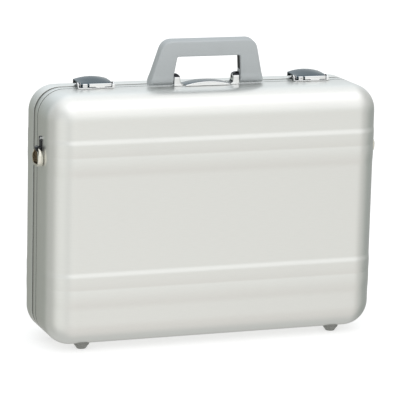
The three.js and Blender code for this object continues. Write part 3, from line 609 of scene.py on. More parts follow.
def ribRise(z):
    for groove in ribGrooves:
        t = groove + rib["pairAbove"] - z
        if 0 < t < rib["fallEnd"]:
            up = min(t / rib["shoulder"], 1)
            rise = up * up * (3 - 2 * up)
            span = rib["fallEnd"] - rib["fallStart"]
            if t > rib["fallSteepest"]:
                fall = (rib["fallEnd"] - t) ** 2 / ((rib["fallEnd"] - rib["fallSteepest"]) * span)
            elif t > rib["fallStart"]:
                fall = 1 - (t - rib["fallStart"]) ** 2 / ((rib["fallSteepest"] - rib["fallStart"]) * span)
            else:
                fall = 1
            valley = max(0, 1 - abs(t - rib["groove"]) / rib["grooveHalf"])
            return case["ribHeight"] * (rise * fall - rib["grooveDepth"] * valley ** 2)
    return 0


def ribbedRows():
    rows = [coreLowZ]
    for groove in ribGrooves:
        start = groove + rib["pairAbove"] - rib["fallEnd"]
        count = round(rib["fallEnd"] / case["rowStep"])
        rows += [start + i * case["rowStep"] for i in range(count + 1)]
    return rows + [coreHighZ]


def outlineStations(rows, steps):
    # core point and the direction in which the outline grows from it, once round the case
    def corner(hand, z, start, first, last):
        return [(hand * coreX, z, *onCircle(1, start + 90 * step / steps)) for step in range(first, last)]

    stations = []
    for hand, column, start in ((1, rows, 0), (-1, rows[::-1], 180)):
        stations += [(hand * coreX, z, hand, 0) for z in column]
        stations += corner(hand, column[-1], start, 1, steps + 1)
        stations += corner(-hand, column[-1], start + 90, 0, steps)
    return stations


def addPanSkin(bm, side, inset, rimY, rows, ribbed, roll, steps, edgeSteps):
    # from the rim along the walls, round the edge and over the face; returns the rim loop
    stations = outlineStations(rows, steps)
    radius = case["edgeRadius"] - inset
    rings = []

    def ring(extraInset, y, slope):
        loop = []
        for x, z, nx, nz in stations:
            rise = ribRise(z) * math.sin(slope) if ribbed and nz == 0 else 0
            reach = case["cornerRadius"] - inset - extraInset + rise * math.cos(slope)
            loop.append(bm.verts.new((x + nx * reach, y + side * rise * math.sin(slope), z + nz * reach)))
        rings.append(loop)

    rollSteps = 4 if roll else 0
    for step in range(rollSteps):
        across, along = onCircle(abs(roll), 90 * step / rollSteps)
        ring(math.copysign(abs(roll) - along, roll), rimY + side * (abs(roll) - across), 0)
    ring(0, rimY + side * abs(roll), 0)
    for step in range(edgeSteps + 1):
        slope = math.pi / 2 * step / edgeSteps
        y = side * (faceY - inset - radius + radius * math.sin(slope))
        ring(radius * (1 - math.cos(slope)), y, slope)
    for near, far in zip(rings, rings[1:]):
        bridge(bm, near, far)
    core = {}
    for z in rows:
        y = side * (faceY - inset + (ribRise(z) if ribbed else 0))
        for x in (-coreX, coreX):
            core[x, z] = bm.verts.new((x, y, z))
    for i, (x, z, nx, nz) in enumerate(stations):
        j = (i + 1) % len(stations)
        corners = (rings[-1][i], rings[-1][j], core[stations[j][:2]], core[x, z])
        bm.faces.new(list(dict.fromkeys(corners)))
    for z0, z1 in zip(rows, rows[1:]):
        bm.faces.new((core[coreX, z0], core[coreX, z1], core[-coreX, z1], core[-coreX, z0]))
    return rings[0]


def addPan(bm, side, inset, thickness, rimY, rows, ribbed=False, roll=0.0, steps=None, edgeSteps=None):
    pan = bmesh.new()
    steps = steps or case["cornerSteps"]
    edgeSteps = edgeSteps or case["edgeSteps"]
    outer = addPanSkin(pan, side, inset, rimY, rows, ribbed, roll, steps, edgeSteps)
    inner = addPanSkin(pan, side, inset + thickness, rimY, rows, ribbed, -roll, steps, edgeSteps)
    bridge(pan, outer, inner)
    addBmesh(bm, pan)


def buildShells():
    rows = ribbedRows()
    frontRim, lidRim = shellHigh.y - case["seamSetback"], lidRimY + case["rimShadeStripWidth"]
    halves = (("front_shell_skin", -1, "front_shell", frontRim), ("lid_shell_skin", 1, "back_shell", lidRim))
    for name, side, node, rimY in halves:
        bm = bmesh.new()
        addPan(bm, side, 0, case["sheet"], rimY, rows, True, case["rimRoll"])
        finishPiece(bm, name, satinShell, node)


def addFrame(bm, section):
    # a closed section of (inset, y) points carried round the case
    rings = []
    for x, z, nx, nz in outlineStations([coreLowZ, coreHighZ], case["cornerSteps"]):
        ring = []
        for inset, y in section:
            reach = case["cornerRadius"] - inset
            ring.append((x + nx * reach, y, z + nz * reach))
        rings.append(ring)
    addLoft(bm, rings, closed=True)


band = {
    "frameThickness": 4 * mm, "flange": 12 * mm, "tongueInset": 4.8 * mm, "tongueThickness": 2 * mm,
    "gasketInset": 1 * mm, "gasketWidth": 3 * mm, "edge": 0.5 * mm, "lip": 2 * mm, "rebate": 1.3 * mm,
    "lipSet": 0.35 * mm,  # how far the rubber lies below the metal
}


def buildFrames():
    start = bandLow.y + band["flange"]
    thickness = band["frameThickness"]
    behind = case["sheet"] + fit
    outside = bandOutside(start)
    section = outside + [(thickness, frontRimY), (thickness, bandLow.y), (behind, bandLow.y), (behind, start)]
    bm = bmesh.new()
    addFrame(bm, section)
    finishPiece(bm, "front_frame_band", frameBand, "front_frame")
    lidFrameLow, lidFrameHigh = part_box("back_frame")
    inner = band["tongueInset"] + band["tongueThickness"]
    section = [
        (behind, lidRimY + fit), (behind, lidFrameHigh.y), (inner, lidFrameHigh.y),
        (inner, lidFrameLow.y + 0.8 * mm), (inner - 0.6 * mm, lidFrameLow.y),
        (band["tongueInset"] + 0.6 * mm, lidFrameLow.y), (band["tongueInset"], lidFrameLow.y + 0.8 * mm),
        (band["tongueInset"], lidRimY + fit),
    ]
    bm = bmesh.new()
    addFrame(bm, section)
    finishPiece(bm, "lid_frame_tongue", frameBand, "back_frame")
    far = band["gasketInset"] + band["gasketWidth"]
    low, high = frontRimY + fit, lidRimY - fit
    lipStart, below = frontRimY - band["lip"] + 0.1 * mm, band["lipSet"]
    rebate = band["rebate"] - 0.05 * mm
    section = [(rebate, lipStart), (below, lipStart), (below, high), (far, high), (far, low), (rebate, low)]
    bm = bmesh.new()
    addFrame(bm, filletLoop(section, 0.3 * mm, 3))
    finishPiece(bm, "gasket_strip", gasketGrey, "frame_gasket")
    # dark strip on the lid's rim: painted shade along the parting line
    sheet, shadeStripEnd = case["sheet"], lidRimY + case["rimShadeStripWidth"] - 0.05 * mm
    bm = bmesh.new()
    addFrame(bm, filletLoop(rectangle((below, lidRimY), (sheet, shadeStripEnd))[::-1], 0.3 * mm, 3))
    finishPiece(bm, "lid_rim_shade_strip", gasketGrey, body="lid")
    # dark strip in the seam between shell and band: painted shade of the gap
    seamStart, seamEnd = shellHigh.y - case["seamSetback"], start + band["edge"] * 0.3
    flush = 0.06 * mm
    bm = bmesh.new()
    addFrame(bm, rectangle((flush, seamStart), (sheet, seamEnd)))
    finishPiece(bm, "front_seam_shade_strip", gasketGrey, body="front_case")


def bandOutside(start):
    # the band that shows, with a rebate for the seal's lip beside the parting
    edge, lip, deep = band["edge"], band["lip"], band["rebate"]
    rim = frontRimY - lip
    seamEdge = edge * 0.3
    outline = [(seamEdge, start), (seamEdge * 0.3, start + seamEdge * 0.3), (0, start + seamEdge)]
    outline += [(0, rim - edge), (edge * 0.3, rim - edge * 0.3), (edge, rim), (deep, rim), (deep, frontRimY)]
    return outline


def buildLinings():
    halves = (("front_lining_flock", -1, "front_lining"), ("lid_lining_flock", 1, "back_lining"))
    for name, side, node in halves:
        low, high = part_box(node)
        rimY = high.y if side < 0 else low.y
        inset = halfLength - high.x
        bm = bmesh.new()
        rows = [coreLowZ, coreHighZ]
        addPan(bm, side, inset, case["lining"], rimY, rows, roll=0.4 * mm, steps=12, edgeSteps=10)
        finishPiece(bm, name, liningCloth, node)


print("building shells and frames")
buildShells()
buildFrames()
buildLinings()


foot = {"bottomRadius": 6.4 * mm, "topRadius": 10.5 * mm, "sink": 0.35 * mm, "steps": 40}


def undersideZ(y):
    # the bottom wall and the start of the rounded edge
    past = max(0, abs(y) - (faceY - case["edgeRadius"]))
    return bottomZ + case["edgeRadius"] - math.sqrt(case["edgeRadius"] ** 2 - past ** 2)


def buildFeet():
    for node in ("front_foot_left", "front_foot_right", "rear_foot_left", "rear_foot_right"):
        low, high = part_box(node)
        centre = Vector(((low.x + high.x) / 2, (low.y + high.y) / 2, 0))
        small, big = foot["bottomRadius"], foot["topRadius"]
        profile = [
            (0, 0.9 * mm), (small * 0.45, 0.9 * mm), (small * 0.55, 0.15 * mm), (small - 1.1 * mm, 0),
            (small - 0.35 * mm, 0.25 * mm), (small, 0.9 * mm), (big - 1.2 * mm, bottomZ - 2.1 * mm),
            (big - 0.35 * mm, bottomZ - 1.2 * mm), (big, bottomZ - 0.6 * mm), (big, bottomZ + 5 * mm),
            (big - 2 * mm, bottomZ + 5 * mm), (0, bottomZ + 5 * mm),
        ]
        bm = bmesh.new()
        addTurned(bm, profile, "z", centre, foot["steps"])
        for vert in bm.verts:
            vert.co.z = min(vert.co.z, undersideZ(vert.co.y) + foot["sink"])
        finishPiece(bm, f"{node}_stud", footGrey, node)


print("building feet")
buildFeet()


handle = {
    "lean": math.radians(10),
    "footHalf": 80.5 * mm, "shoulderHalf": 64 * mm, "innerFoot": 46.5 * mm, "innerTop": 44 * mm,
    "height": 53 * mm, "bar": 21.8 * mm, "corner": 13 * mm, "innerCorner": 3 * mm,
    "thickness": 15 * mm, "nose": 8.6 * mm, "noseClearance": 1.4 * mm, "edge": 2.3 * mm,
    "besideBracket": 7.3 * mm,  # the leg reaches its full thickness above this
    "inlayMargin": 3 * mm, "inlayStart": 8 * mm,
}
plateLow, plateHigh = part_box("handle_plate")
handleY = (plateLow.y + plateHigh.y) / 2
pivotZ = topZ + handle["nose"] + handle["noseClearance"]
handleTurn = Matrix.Translation((0, handleY, pivotZ)) @ Matrix.Rotation(handle["lean"], 4, "X")


def handleStations():
    # (outer point, inner point, half thickness) from the left foot over the bar to the right foot
    h = handle
    flare = (h["footHalf"] - h["shoulderHalf"]) / (h["height"] + h["nose"])
    beside, thick = h["besideBracket"], h["thickness"] / 2
    barZ = h["height"] - h["bar"]
    topOuter = h["height"] - h["corner"]
    topInner = h["height"] - h["bar"] - h["innerCorner"]
    stations = []

    def leg(outerZ, innerZ, half):
        outer = (-h["footHalf"] + flare * (outerZ + h["nose"]), outerZ)
        taper = max(0, innerZ - beside) / (topInner - beside)
        stations.append((outer, (-h["innerFoot"] + (h["innerFoot"] - h["innerTop"]) * taper, innerZ), half))

    for step in range(9):
        down, half = onCircle(h["nose"], 172 - 82 * step / 8)
        leg(down, down, max(half, 1.2 * mm))
    for step in range(1, 6):
        z = beside * step / 5
        ease = (step / 5) ** 2 * (3 - 2 * step / 5)
        leg(z, z, h["nose"] + (thick - h["nose"]) * ease)
    for step in range(1, 7):
        t = step / 6
        leg(beside + (topOuter - beside) * t, beside + (topInner - beside) * t, thick)

    def curve(first, corner, last, t):
        points = zip(first, corner, last)
        return tuple(a * (1 - t) ** 2 + b * 2 * t * (1 - t) + c * t * t for a, b, c in points)

    outerStart = stations[-1][0]
    outerTurn = (-h["shoulderHalf"], h["height"]), (-h["shoulderHalf"] + h["corner"], h["height"])
    innerTurn = (-h["innerTop"], barZ), (-h["innerTop"] + h["innerCorner"], barZ)
    for step in range(1, 13):
        outer = curve(outerStart, *outerTurn, step / 12)
        stations.append((outer, curve((-h["innerTop"], topInner), *innerTurn, step / 12), thick))
    for step in range(1, 5):
        t = step / 5 - 1
        outer = ((h["shoulderHalf"] - h["corner"]) * t, h["height"])
        stations.append((outer, ((h["innerTop"] - h["innerCorner"]) * t, barZ), thick))
    middle = [((0, h["height"]), (0, barZ), thick)]
    mirrored = [((-o[0], o[1]), (-i[0], i[1]), half) for o, i, half in reversed(stations)]
    return stations + middle + mirrored


def acrossHandle(base, direction, outline):
    # a flat outline of (along the direction, y) points carried into the handle's place
    ring = []
    for along, y in outline:
        point = base + direction * along
        ring.append(handleTurn @ Vector((point.x, y, point.y)))
    return ring


def buildHandle():
    grip, inlay = [], []
    margin = handle["thickness"] / 2 - handle["inlayMargin"]
    for outer, inner, half in handleStations():
        inner, span = Vector(inner), Vector(outer) - Vector(inner)
        edge = min(handle["edge"], half * 0.8)
        outline = roundedRectangle(0, span.length, -half, half, edge, 5)
        grip.append(acrossHandle(inner, span / span.length, outline))
        if inner.y > handle["inlayStart"]:
            outline = roundedRectangle(-0.8 * mm, 0.35 * mm, -margin, margin, 0.3 * mm, 2)
            inlay.append(acrossHandle(inner, -span / span.length, outline))
    bm = bmesh.new()
    addLoft(bm, grip)
    finishPiece(bm, "handle_grip", handleGrey, "handle", sharpAngle=50)
    # dark strip let into the inside of the loop
    bm = bmesh.new()
    addLoft(bm, inlay)
    finishPiece(bm, "handle_inlay", inlayBlack, body="handle")


bracket = {
    "shoulder": 7 * mm, "base": 1.8 * mm, "gusset": 4 * mm, "edge": 0.9 * mm, "depthHalf": 6.5 * mm,
    "bore": 2.35 * mm, "pin": 2 * mm,
    "eyeLip": [(2.35, 0.5), (2.5, -0.35), (2.9, -0.45), (3.25, -0.2), (3.3, 0.5)],  # radius, depth in mm
}


def bracketRows(inner, low, high):
    # (height, inner face) from the flared base up to the rounded shoulder
    foot, gusset = inner - bracket["gusset"], bracket["gusset"]
    flareZ, shoulderZ = low + bracket["base"], high - bracket["shoulder"]
    rows = [(low + bracket["base"] * step / 3, foot) for step in range(4)]
    for step in range(1, 13):
        t = step / 12
        rows.append((flareZ * (1 - t * t) + shoulderZ * t * t, foot + gusset * (1 - (1 - t) ** 2)))
    for step in range(1, 10):
        t = step / 10
        z = shoulderZ + (high - shoulderZ) * (1 - (1 - t) ** 2)
        rows.append((z, inner + bracket["shoulder"] * t * t))
    return rows


def buildBrackets():
    bore, pin = bracket["bore"], bracket["pin"]
    for hand, side in hands:
        low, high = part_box(f"handle_bracket_{hand}")
        outer = max(abs(low.x), abs(high.x))
        inner = min(abs(low.x), abs(high.x)) + bracket["gusset"]
        rings = []
        for z, x in bracketRows(inner, low.z, high.z):
            above = max(0, z - pivotZ)
            depth = math.sqrt(max(bracket["depthHalf"] ** 2 - above ** 2, (0.9 * mm) ** 2))
            section = roundedRectangle(x, outer, handleY - depth, handleY + depth, bracket["edge"], 4)
            rings.append([(side * a, b, z) for a, b in section])
        bm = bmesh.new()
        addLoft(bm, rings)
        cutter = bmesh.new()
        centre = (side * (inner + 0.6 * mm), handleY, pivotZ)
        addTurned(cutter, [(0, -2 * mm), (bore, -2 * mm), (bore, 3.2 * mm), (0, 3.2 * mm)], "x", centre, 28)
        # upper faces in near-black: painted dark reflection on the bracket's top
        finishPiece(cutWith(bm, cutter), f"handle_bracket_{hand}_casting", brightChrome,
                    f"handle_bracket_{hand}", facing=(blackNickelAndShade, lambda face: face.normal.z > 0.3))
        pinLow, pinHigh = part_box(f"handle_pin_{hand}")
        start, far = side * (inner + 1.2 * mm), pinHigh.x if side > 0 else pinLow.x
        profile = [(0, start), (pin - 0.7 * mm, start), (pin - 0.1 * mm, start + side * 0.6 * mm)]
        profile += [(pin, start + side * 0.9 * mm), (pin, far), (0, far)]
        bm = bmesh.new()
        addTurned(bm, profile, "x", (0, handleY, pivotZ), 28)
        finishPiece(bm, f"handle_pin_{hand}_rod", blackNickelAndShade, f"handle_pin_{hand}")
        # raised lip round the pin's eye
        lip = [(radius * mm, side * along * mm) for radius, along in bracket["eyeLip"]]
        bm = bmesh.new()
        addTurned(bm, lip, "x", (side * inner, handleY, pivotZ), 32)
        finishPiece(bm, f"bracket_eye_{hand}", brightChrome, body="front_case")


plate = {"edgeRise": 1.6 * mm, "crown": 4.2 * mm, "round": 0.9 * mm, "columns": 36}


def buildPlate():
    half = plateHigh.x
    rings = []
    for column in range(plate["columns"] + 1):
        u = 2 * column / plate["columns"] - 1
        height = plate["edgeRise"] + plate["crown"] * (1 - u * u)
        rounding = min(plate["round"], height * 0.45)
        section = roundedRectangle(plateLow.y, plateHigh.y, plateLow.z, plateLow.z + height, rounding, 4)
        rings.append([(u * half, a, b) for a, b in section])
    bm = bmesh.new()
    addLoft(bm, rings)
    # the dome's top faces are painted dark as a reflection; the front stays bright chrome
    finishPiece(bm, "handle_plate_dome", brightChrome, "handle_plate",
                facing=(paintedDarkReflection, lambda face: face.normal.z > 0.8))


print("building the handle")
buildHandle()
buildBrackets()
buildPlate()


latch = {
    "middle": 151 * mm, "length": 50 * mm, "frontSetback": 25 * mm, "lidReach": 9 * mm, "plate": 1.2 * mm,
    "pinSetback": 16.5 * mm, "pinHeight": 4.4 * mm, "pinRadius": 1.2 * mm,
    "barrel": 2.6 * mm, "barrelShort": 2.2 * mm, "cheek": 1.8 * mm, "cheekRadius": 3.4 * mm,
    "sheet": 1.6 * mm, "edgeRise": 1.2 * mm, "crown": 3.4 * mm, "nose": 1.8 * mm,
    "bar": 3.4 * mm, "barHeight": 6.6 * mm, "barUndercut": 9.5 * mm, "knuckle": 4.4 * mm,
    "slide": 6.5 * mm, "slideGap": 2.3 * mm, "slideInset": 5.8 * mm, "slideRidges": 3,
    "keeperLip": 4.4 * mm, "keeperLipThickness": 1.5 * mm,
}
latchLow = topZ + fit
latchPinY = partingY - latch["pinSetback"]
latchPinZ = topZ + latch["pinHeight"]
latchFrontY = partingY - latch["frontSetback"]
latchBackY = partingY + latch["lidReach"]


def leverTop(u, t):
    swell = latch["edgeRise"] + latch["crown"] * (1 - u * u)
    return latchPinZ + latch["barrel"] + swell * math.sin(math.pi / 2 * t)


def buildLatchBase(hand, x):
    half = latch["length"] / 2
    left, right = x - half, x + half
    slideLeft = left + latch["slideInset"]
    slideRight = slideLeft + latch["slide"]
    barLeft, barRight = slideRight + latch["slideGap"], right - latch["knuckle"] - 0.8 * mm
    barBack = latchFrontY + latch["bar"]
    barTop = topZ + latch["barHeight"]
    plateTop = latchLow + latch["plate"]
    shelf, under = plateTop + 0.9 * mm, plateTop - 0.2 * mm
    cut = latch["barUndercut"]
    bm = bmesh.new()
    addBlock(bm, (left, latchFrontY, latchLow), (right, frontRimY - fit, plateTop), 0.35 * mm)
    # front bar, undercut at both ends
    outline = [(barLeft, shelf), (barLeft, barTop), (barRight, barTop), (barRight, shelf)]
    outline += [(barRight - cut + 1.3 * mm, shelf), (barRight - cut - 0.2 * mm, under)]
    outline += [(barLeft + cut, under), (barLeft + cut - 1.5 * mm, shelf)]
    addPrism(bm, outline, "y", latchFrontY, barBack, 0.6 * mm, 4)
    knuckleLow = (right - latch["knuckle"], latchFrontY, latchLow + 0.4 * mm)
    addBlock(bm, knuckleLow, (right, barBack, barTop - 1 * mm), 0.9 * mm, 4)
    finishPiece(bm, f"latch_base_{hand}_casting", brightChrome, f"latch_base_{hand}")
    # end cheeks: a rounded ear round the pin that slopes down to the plate
    bm = bmesh.new()
    for x0 in (left, right - latch["cheek"]):
        ear = [(latchPinY - latch["cheekRadius"] - 1 * mm, latchLow + 0.3 * mm)]
        for step in range(13):
            a, b = onCircle(latch["cheekRadius"], 180 - 152 * step / 12)
            ear.append((latchPinY + a, latchPinZ + b))
        ear += [(frontRimY - 2 * mm, plateTop + 0.2 * mm), (frontRimY - 2 * mm, latchLow + 0.3 * mm)]
        addPrism(bm, ear, "x", x0, x0 + latch["cheek"], 0.35 * mm, 2)
    # cheeks in near-black: painted shade of the hollow under the lever; faces turned up and forward get a
    # painted highlight in bright chrome
    finishPiece(bm, f"latch_cheeks_{hand}", blackNickelAndShade, body="front_case",
                facing=(brightChrome, lambda face: face.normal.z - 0.3 * face.normal.y > 0.35))
    radius, end = latch["pinRadius"], half + 0.3 * mm
    profile = [(0, -end), (radius * 0.6, -half - 0.25 * mm), (radius, -half)]
    profile += [(radius, half), (radius * 0.6, half + 0.25 * mm), (0, end)]
    bm = bmesh.new()
    addTurned(bm, profile, "x", (x, latchPinY, latchPinZ), 24)
    finishPiece(bm, f"latch_pin_{hand}_rod", hingeSteel, f"latch_pin_{hand}")
    bm = bmesh.new()
    addBlock(bm, (slideLeft, latchFrontY, plateTop + fit), (slideRight, barBack, barTop), 0.7 * mm, 4)
    for line in range(latch["slideRidges"]):
        ridge = slideLeft + (1.9 + 1.35 * line) * mm
        low = (ridge - 0.28 * mm, latchFrontY - 0.25 * mm, plateTop + 1.6 * mm)
        addBlock(bm, low, (ridge + 0.28 * mm, latchFrontY + 0.5 * mm, barTop - 1.3 * mm), 0.18 * mm, 2)
    finishPiece(bm, f"release_slide_{hand}_button", brightChrome, f"release_slide_{hand}")


def buildLatchLever(hand, x):
    half = latch["length"] / 2 - latch["cheek"] - 0.5 * mm
    columns, rows = 40, 20
    sections, noseRings = [], []
    noseLow = max(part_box(f"latch_lever_{hand}")[0].z, latchLow + latch["plate"] + 1.3 * mm)
    for column in range(columns + 1):
        u = 2 * column / columns - 1
        top, under = [], []
        for row in range(rows + 1):
            t = row / rows
            y = latchPinY + t * (latchBackY - latchPinY)
            top.append((x + u * half, y, leverTop(u, t)))
            under.append((x + u * half, y - 0.2 * mm, leverTop(u, t) - latch["sheet"]))
        sections.append(top + under[::-1])
        noseTop, noseY = leverTop(u, 1) - latch["sheet"] * 0.5, latchBackY - latch["nose"]
        outline = roundedRectangle(noseY, latchBackY - 0.05 * mm, noseLow, noseTop, 0.45 * mm, 3)
        noseRings.append([(x + u * (half - 0.05 * mm), a, b) for a, b in outline])
    bm = bmesh.new()
    addLoft(bm, sections)
    bevelSharp(bm, 50, 0.5 * mm, 3)
    # the rolled barrel and the turned-down nose
    barrel = latch["barrel"]
    end, small = half - latch["barrelShort"], 0.3 * mm
    profile = [(0, -end), (barrel - small, -end), (barrel, -end + small)]
    profile += [(barrel, end - small), (barrel - small, end), (0, end)]
    addTurned(bm, profile, "x", (x, latchPinY, latchPinZ), 32)
    addLoft(bm, noseRings)
    # the whole lever in dark chrome: painted dark reflection
    finishPiece(bm, f"latch_lever_{hand}_shell", paintedDarkReflection, f"latch_lever_{hand}")
    # bright collars on the barrel's ends
    bm = bmesh.new()
    outer = barrel + 0.1 * mm
    collar = [(1.45 * mm, 0.1 * mm), (1.45 * mm, -0.5 * mm), (2.2 * mm, -0.7 * mm)]
    collar += [(outer, -0.4 * mm), (outer, 0.1 * mm)]
    for turn in (-1, 1):
        addTurned(bm, [(r, turn * (end - along)) for r, along in collar], "x", (x, latchPinY, latchPinZ), 28)
    finishPiece(bm, f"latch_collar_{hand}", brightChrome, body=f"{hand}_lever")


def buildLatchKeeper(hand):
    low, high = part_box(f"latch_keeper_{hand}")
    plateTop = latchLow + latch["plate"]
    bm = bmesh.new()
    addBlock(bm, (low.x, low.y, low.z), (high.x, high.y, plateTop), 0.35 * mm)
    lipY, margin = partingY + latch["keeperLip"], 2 * mm
    lipEnd = (high.x - margin, lipY + latch["keeperLipThickness"], high.z)
    addBlock(bm, (low.x + margin, lipY, low.z + 0.4 * mm), lipEnd, 0.3 * mm)
    middle = (low.x + high.x) / 2
    for offset in (-14 * mm, 14 * mm):
        centre = (middle + offset, high.y - 1.9 * mm, plateTop - 0.1 * mm)
        addTurned(bm, domeProfile(1.6 * mm, 0.45 * mm), "z", centre, 20)
    finishPiece(bm, f"latch_keeper_{hand}_strike", brightChrome, f"latch_keeper_{hand}")


def domeProfile(radius, height):
    profile = [(0, -height * 0.5), (radius * 0.9, -height * 0.5), (radius, 0)]
    for step in range(1, 6):
        across, up = onCircle(1, 90 * step / 5)
        profile.append((radius * across if step < 5 else 0, height * up))
    return profile


print("building latches")
for hand, side in hands:
    buildLatchBase(hand, side * latch["middle"])
    buildLatchLever(hand, side * latch["middle"])
    buildLatchKeeper(hand)


strapRing = {
    "wire": 1.6 * mm, "bandHalf": 3.4 * mm, "bandStart": 2 * mm, "bandFull": 9 * mm, "squareness": 0.62,
    "steps": 72, "eyeWall": 1.4 * mm, "bore": 0.5 * mm, "halfEye": 4.5 * mm, "postPlate": 1.5 * mm,
}


def buildStrapRing(hand, x, y, pivot, halfWidth, drop):
    wire, steps = strapRing["wire"], strapRing["steps"]
    start, full, widening = strapRing["bandStart"], strapRing["bandFull"], strapRing["bandHalf"] - wire
    path = []
    for step in range(steps):
        turn = 2 * math.pi * step / steps
        turned = (math.cos(turn), math.sin(turn))
        across, up = (math.copysign(abs(v) ** strapRing["squareness"], v) for v in turned)
        path.append(Vector((x, y + across * halfWidth, pivot + (up - 1) * drop / 2)))
    rings = []
    outward = Vector((1, 0, 0))
    for i, point in enumerate(path):
        inPlane = (path[(i + 1) % steps] - path[i - 1]).cross(outward).normalized()
        # a round top bar that widens into a flat band down the limbs
        share = min(max((pivot - point.z - start) / (full - start), 0), 1)
        half = wire + widening * share * share * (3 - 2 * share)
        section = roundedRectangle(-half, half, -wire, wire, wire * 0.98 - share * 0.7 * mm, 5)
        rings.append([point + outward * a + inPlane * b for a, b in section])
    middle = Vector((x, y, pivot - drop / 2))

    def facesInward(face):
        toMiddle = middle - face.center
        return face.normal.dot(toMiddle) > 0.35 * toMiddle.length

    bm = bmesh.new()
    addLoft(bm, rings, closed=True)
    # faces turned to the ring's middle get the dark brown finish: painted shade inside the ring, with a
    # tarnished brown
    finishPiece(bm, f"strap_ring_{hand}_wire", agedNickel, f"strap_ring_{hand}", sharpAngle=80,
                facing=(tarnishAndShade, facesInward))


def buildRingPost(hand, side, x, y, pivot):
    low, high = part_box(f"ring_post_{hand}")
    wall = high.x if side < 0 else low.x
    halfEye, bore = strapRing["halfEye"], strapRing["wire"] + strapRing["bore"]
    outside = wall + side * strapRing["postPlate"]
    bm = bmesh.new()
    outline = filletLoop(rectangle((y - halfEye, low.z), (y + halfEye, high.z)), 3.2 * mm, 6)
    addPrism(bm, outline, "x", *sorted((wall, outside)), 0.35 * mm, 3)
    # saddle that wraps the ring
    section = []
    for radius, turn in ((bore + strapRing["eyeWall"], 1), (bore, -1)):
        for step in range(25):
            a, b = onCircle(radius, turn * (320 * step / 24 - 160))
            section.append((x + side * a, pivot + b))
    addPrism(bm, section, "y", y - halfEye, y + halfEye, 0.3 * mm, 2, sharpOver=50)
    head = [(radius, side * out) for radius, out in domeProfile(2.1 * mm, 0.9 * mm)]
    addTurned(bm, head, "x", (outside, y, high.z - 3.6 * mm), 24)
    # the near-black saddle is painted dark reflection; its upper front faces get a painted glint in bright
    # chrome
    glintFrom = high.z - 7 * mm
    finishPiece(bm, f"ring_post_{hand}_saddle", blackNickelAndShade, f"ring_post_{hand}",
                facing=(brightChrome, lambda face: face.normal.y < -0.6 and face.center.z > glintFrom))


def buildStrapRings():
    for hand, side in hands:
        low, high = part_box(f"strap_ring_{hand}")
        wire = strapRing["wire"]
        x, y, pivot = (low.x + high.x) / 2, (low.y + high.y) / 2, high.z - wire
        buildStrapRing(hand, x, y, pivot, (high.y - low.y) / 2 - wire, high.z - low.z - 2 * wire)
        buildRingPost(hand, side, x, y, pivot)


print("building strap rings")
buildStrapRings()


hinge = {
    "length": 56 * mm, "knuckles": 5, "gap": 0.4 * mm, "barrel": 2.7 * mm, "pin": 1.3 * mm, "leaf": 17 * mm,
    "sheet": 1.2 * mm, "rivetSpacing": 20 * mm,
}


def buildHingeLeaf(name, hand, direction, firstKnuckle, x, axisZ):
    start = x - hinge["length"] / 2
    pitch = hinge["length"] / hinge["knuckles"]
    barrel, hollow, small = hinge["barrel"], hinge["pin"] + fit, 0.25 * mm
    leafTop = bottomZ - fit
    leafBottom = leafTop - hinge["sheet"]
    edge = barrel + hinge["gap"]
    y0, y1 = sorted((partingY + direction * edge, partingY + direction * (edge + hinge["leaf"])))
    bm = bmesh.new()
    outline = filletLoop(rectangle((start, y0), (start + hinge["length"], y1)), 2.2 * mm, 5)
    addPrism(bm, outline, "z", leafBottom, leafTop, small, 2)
    y0, y1 = sorted((partingY + direction * 1.6 * mm, partingY + direction * (edge + 1.5 * mm)))
    for i in range(firstKnuckle, hinge["knuckles"], 2):
        x0 = start + i * pitch + hinge["gap"] / 2
        x1 = start + (i + 1) * pitch - hinge["gap"] / 2
        addBlock(bm, (x0, y0, leafBottom), (x1, y1, leafTop), 0.2 * mm, 2)
        ring = [(hollow, x0), (barrel - small, x0), (barrel, x0 + small)]
        ring += [(barrel, x1 - small), (barrel - small, x1), (hollow, x1)]
        addTurned(bm, ring, "x", (0, partingY, axisZ), 32)
    rivetY = partingY + direction * (edge + hinge["leaf"] * 0.58)
    for place in (-1, 0, 1):
        centre = (x + place * hinge["rivetSpacing"], rivetY, leafBottom)
        addTurned(bm, [(r, -h) for r, h in domeProfile(2.2 * mm, 0.8 * mm)], "z", centre, 24)
    finishPiece(bm, f"{name}_{hand}_plate", hingeSteel, f"{name}_{hand}")


def buildHinges():
    for hand in ("left", "right"):
        low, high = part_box(f"hinge_pin_{hand}")
        x, axisZ = (low.x + high.x) / 2, (low.z + high.z) / 2
        buildHingeLeaf("hinge_front_leaf", hand, -1, 0, x, axisZ)
        buildHingeLeaf("hinge_lid_leaf", hand, 1, 1, x, axisZ)
        radius, small = hinge["pin"], 0.3 * mm
        profile = [(0, low.x), (radius * 0.7, low.x), (radius, low.x + small)]
        profile += [(radius, high.x - small), (radius * 0.7, high.x), (0, high.x)]
        bm = bmesh.new()
        addTurned(bm, profile, "x", (0, partingY, axisZ), 24)
        finishPiece(bm, f"hinge_pin_{hand}_rod", hingeSteel, f"hinge_pin_{hand}")


print("building hinges")
buildHinges()


def finishStays():
    # the stays keep their own shape and only get a better steel
    for name in ("stay_arm", "stay_link", "stay_base_rivet", "stay_lid_rivet"):
        for hand in ("left", "right"):
            materials = nodes[f"{name}_{hand}"].data.materials
            materials.clear()
            materials.append(hingeSteel)


finishStays()


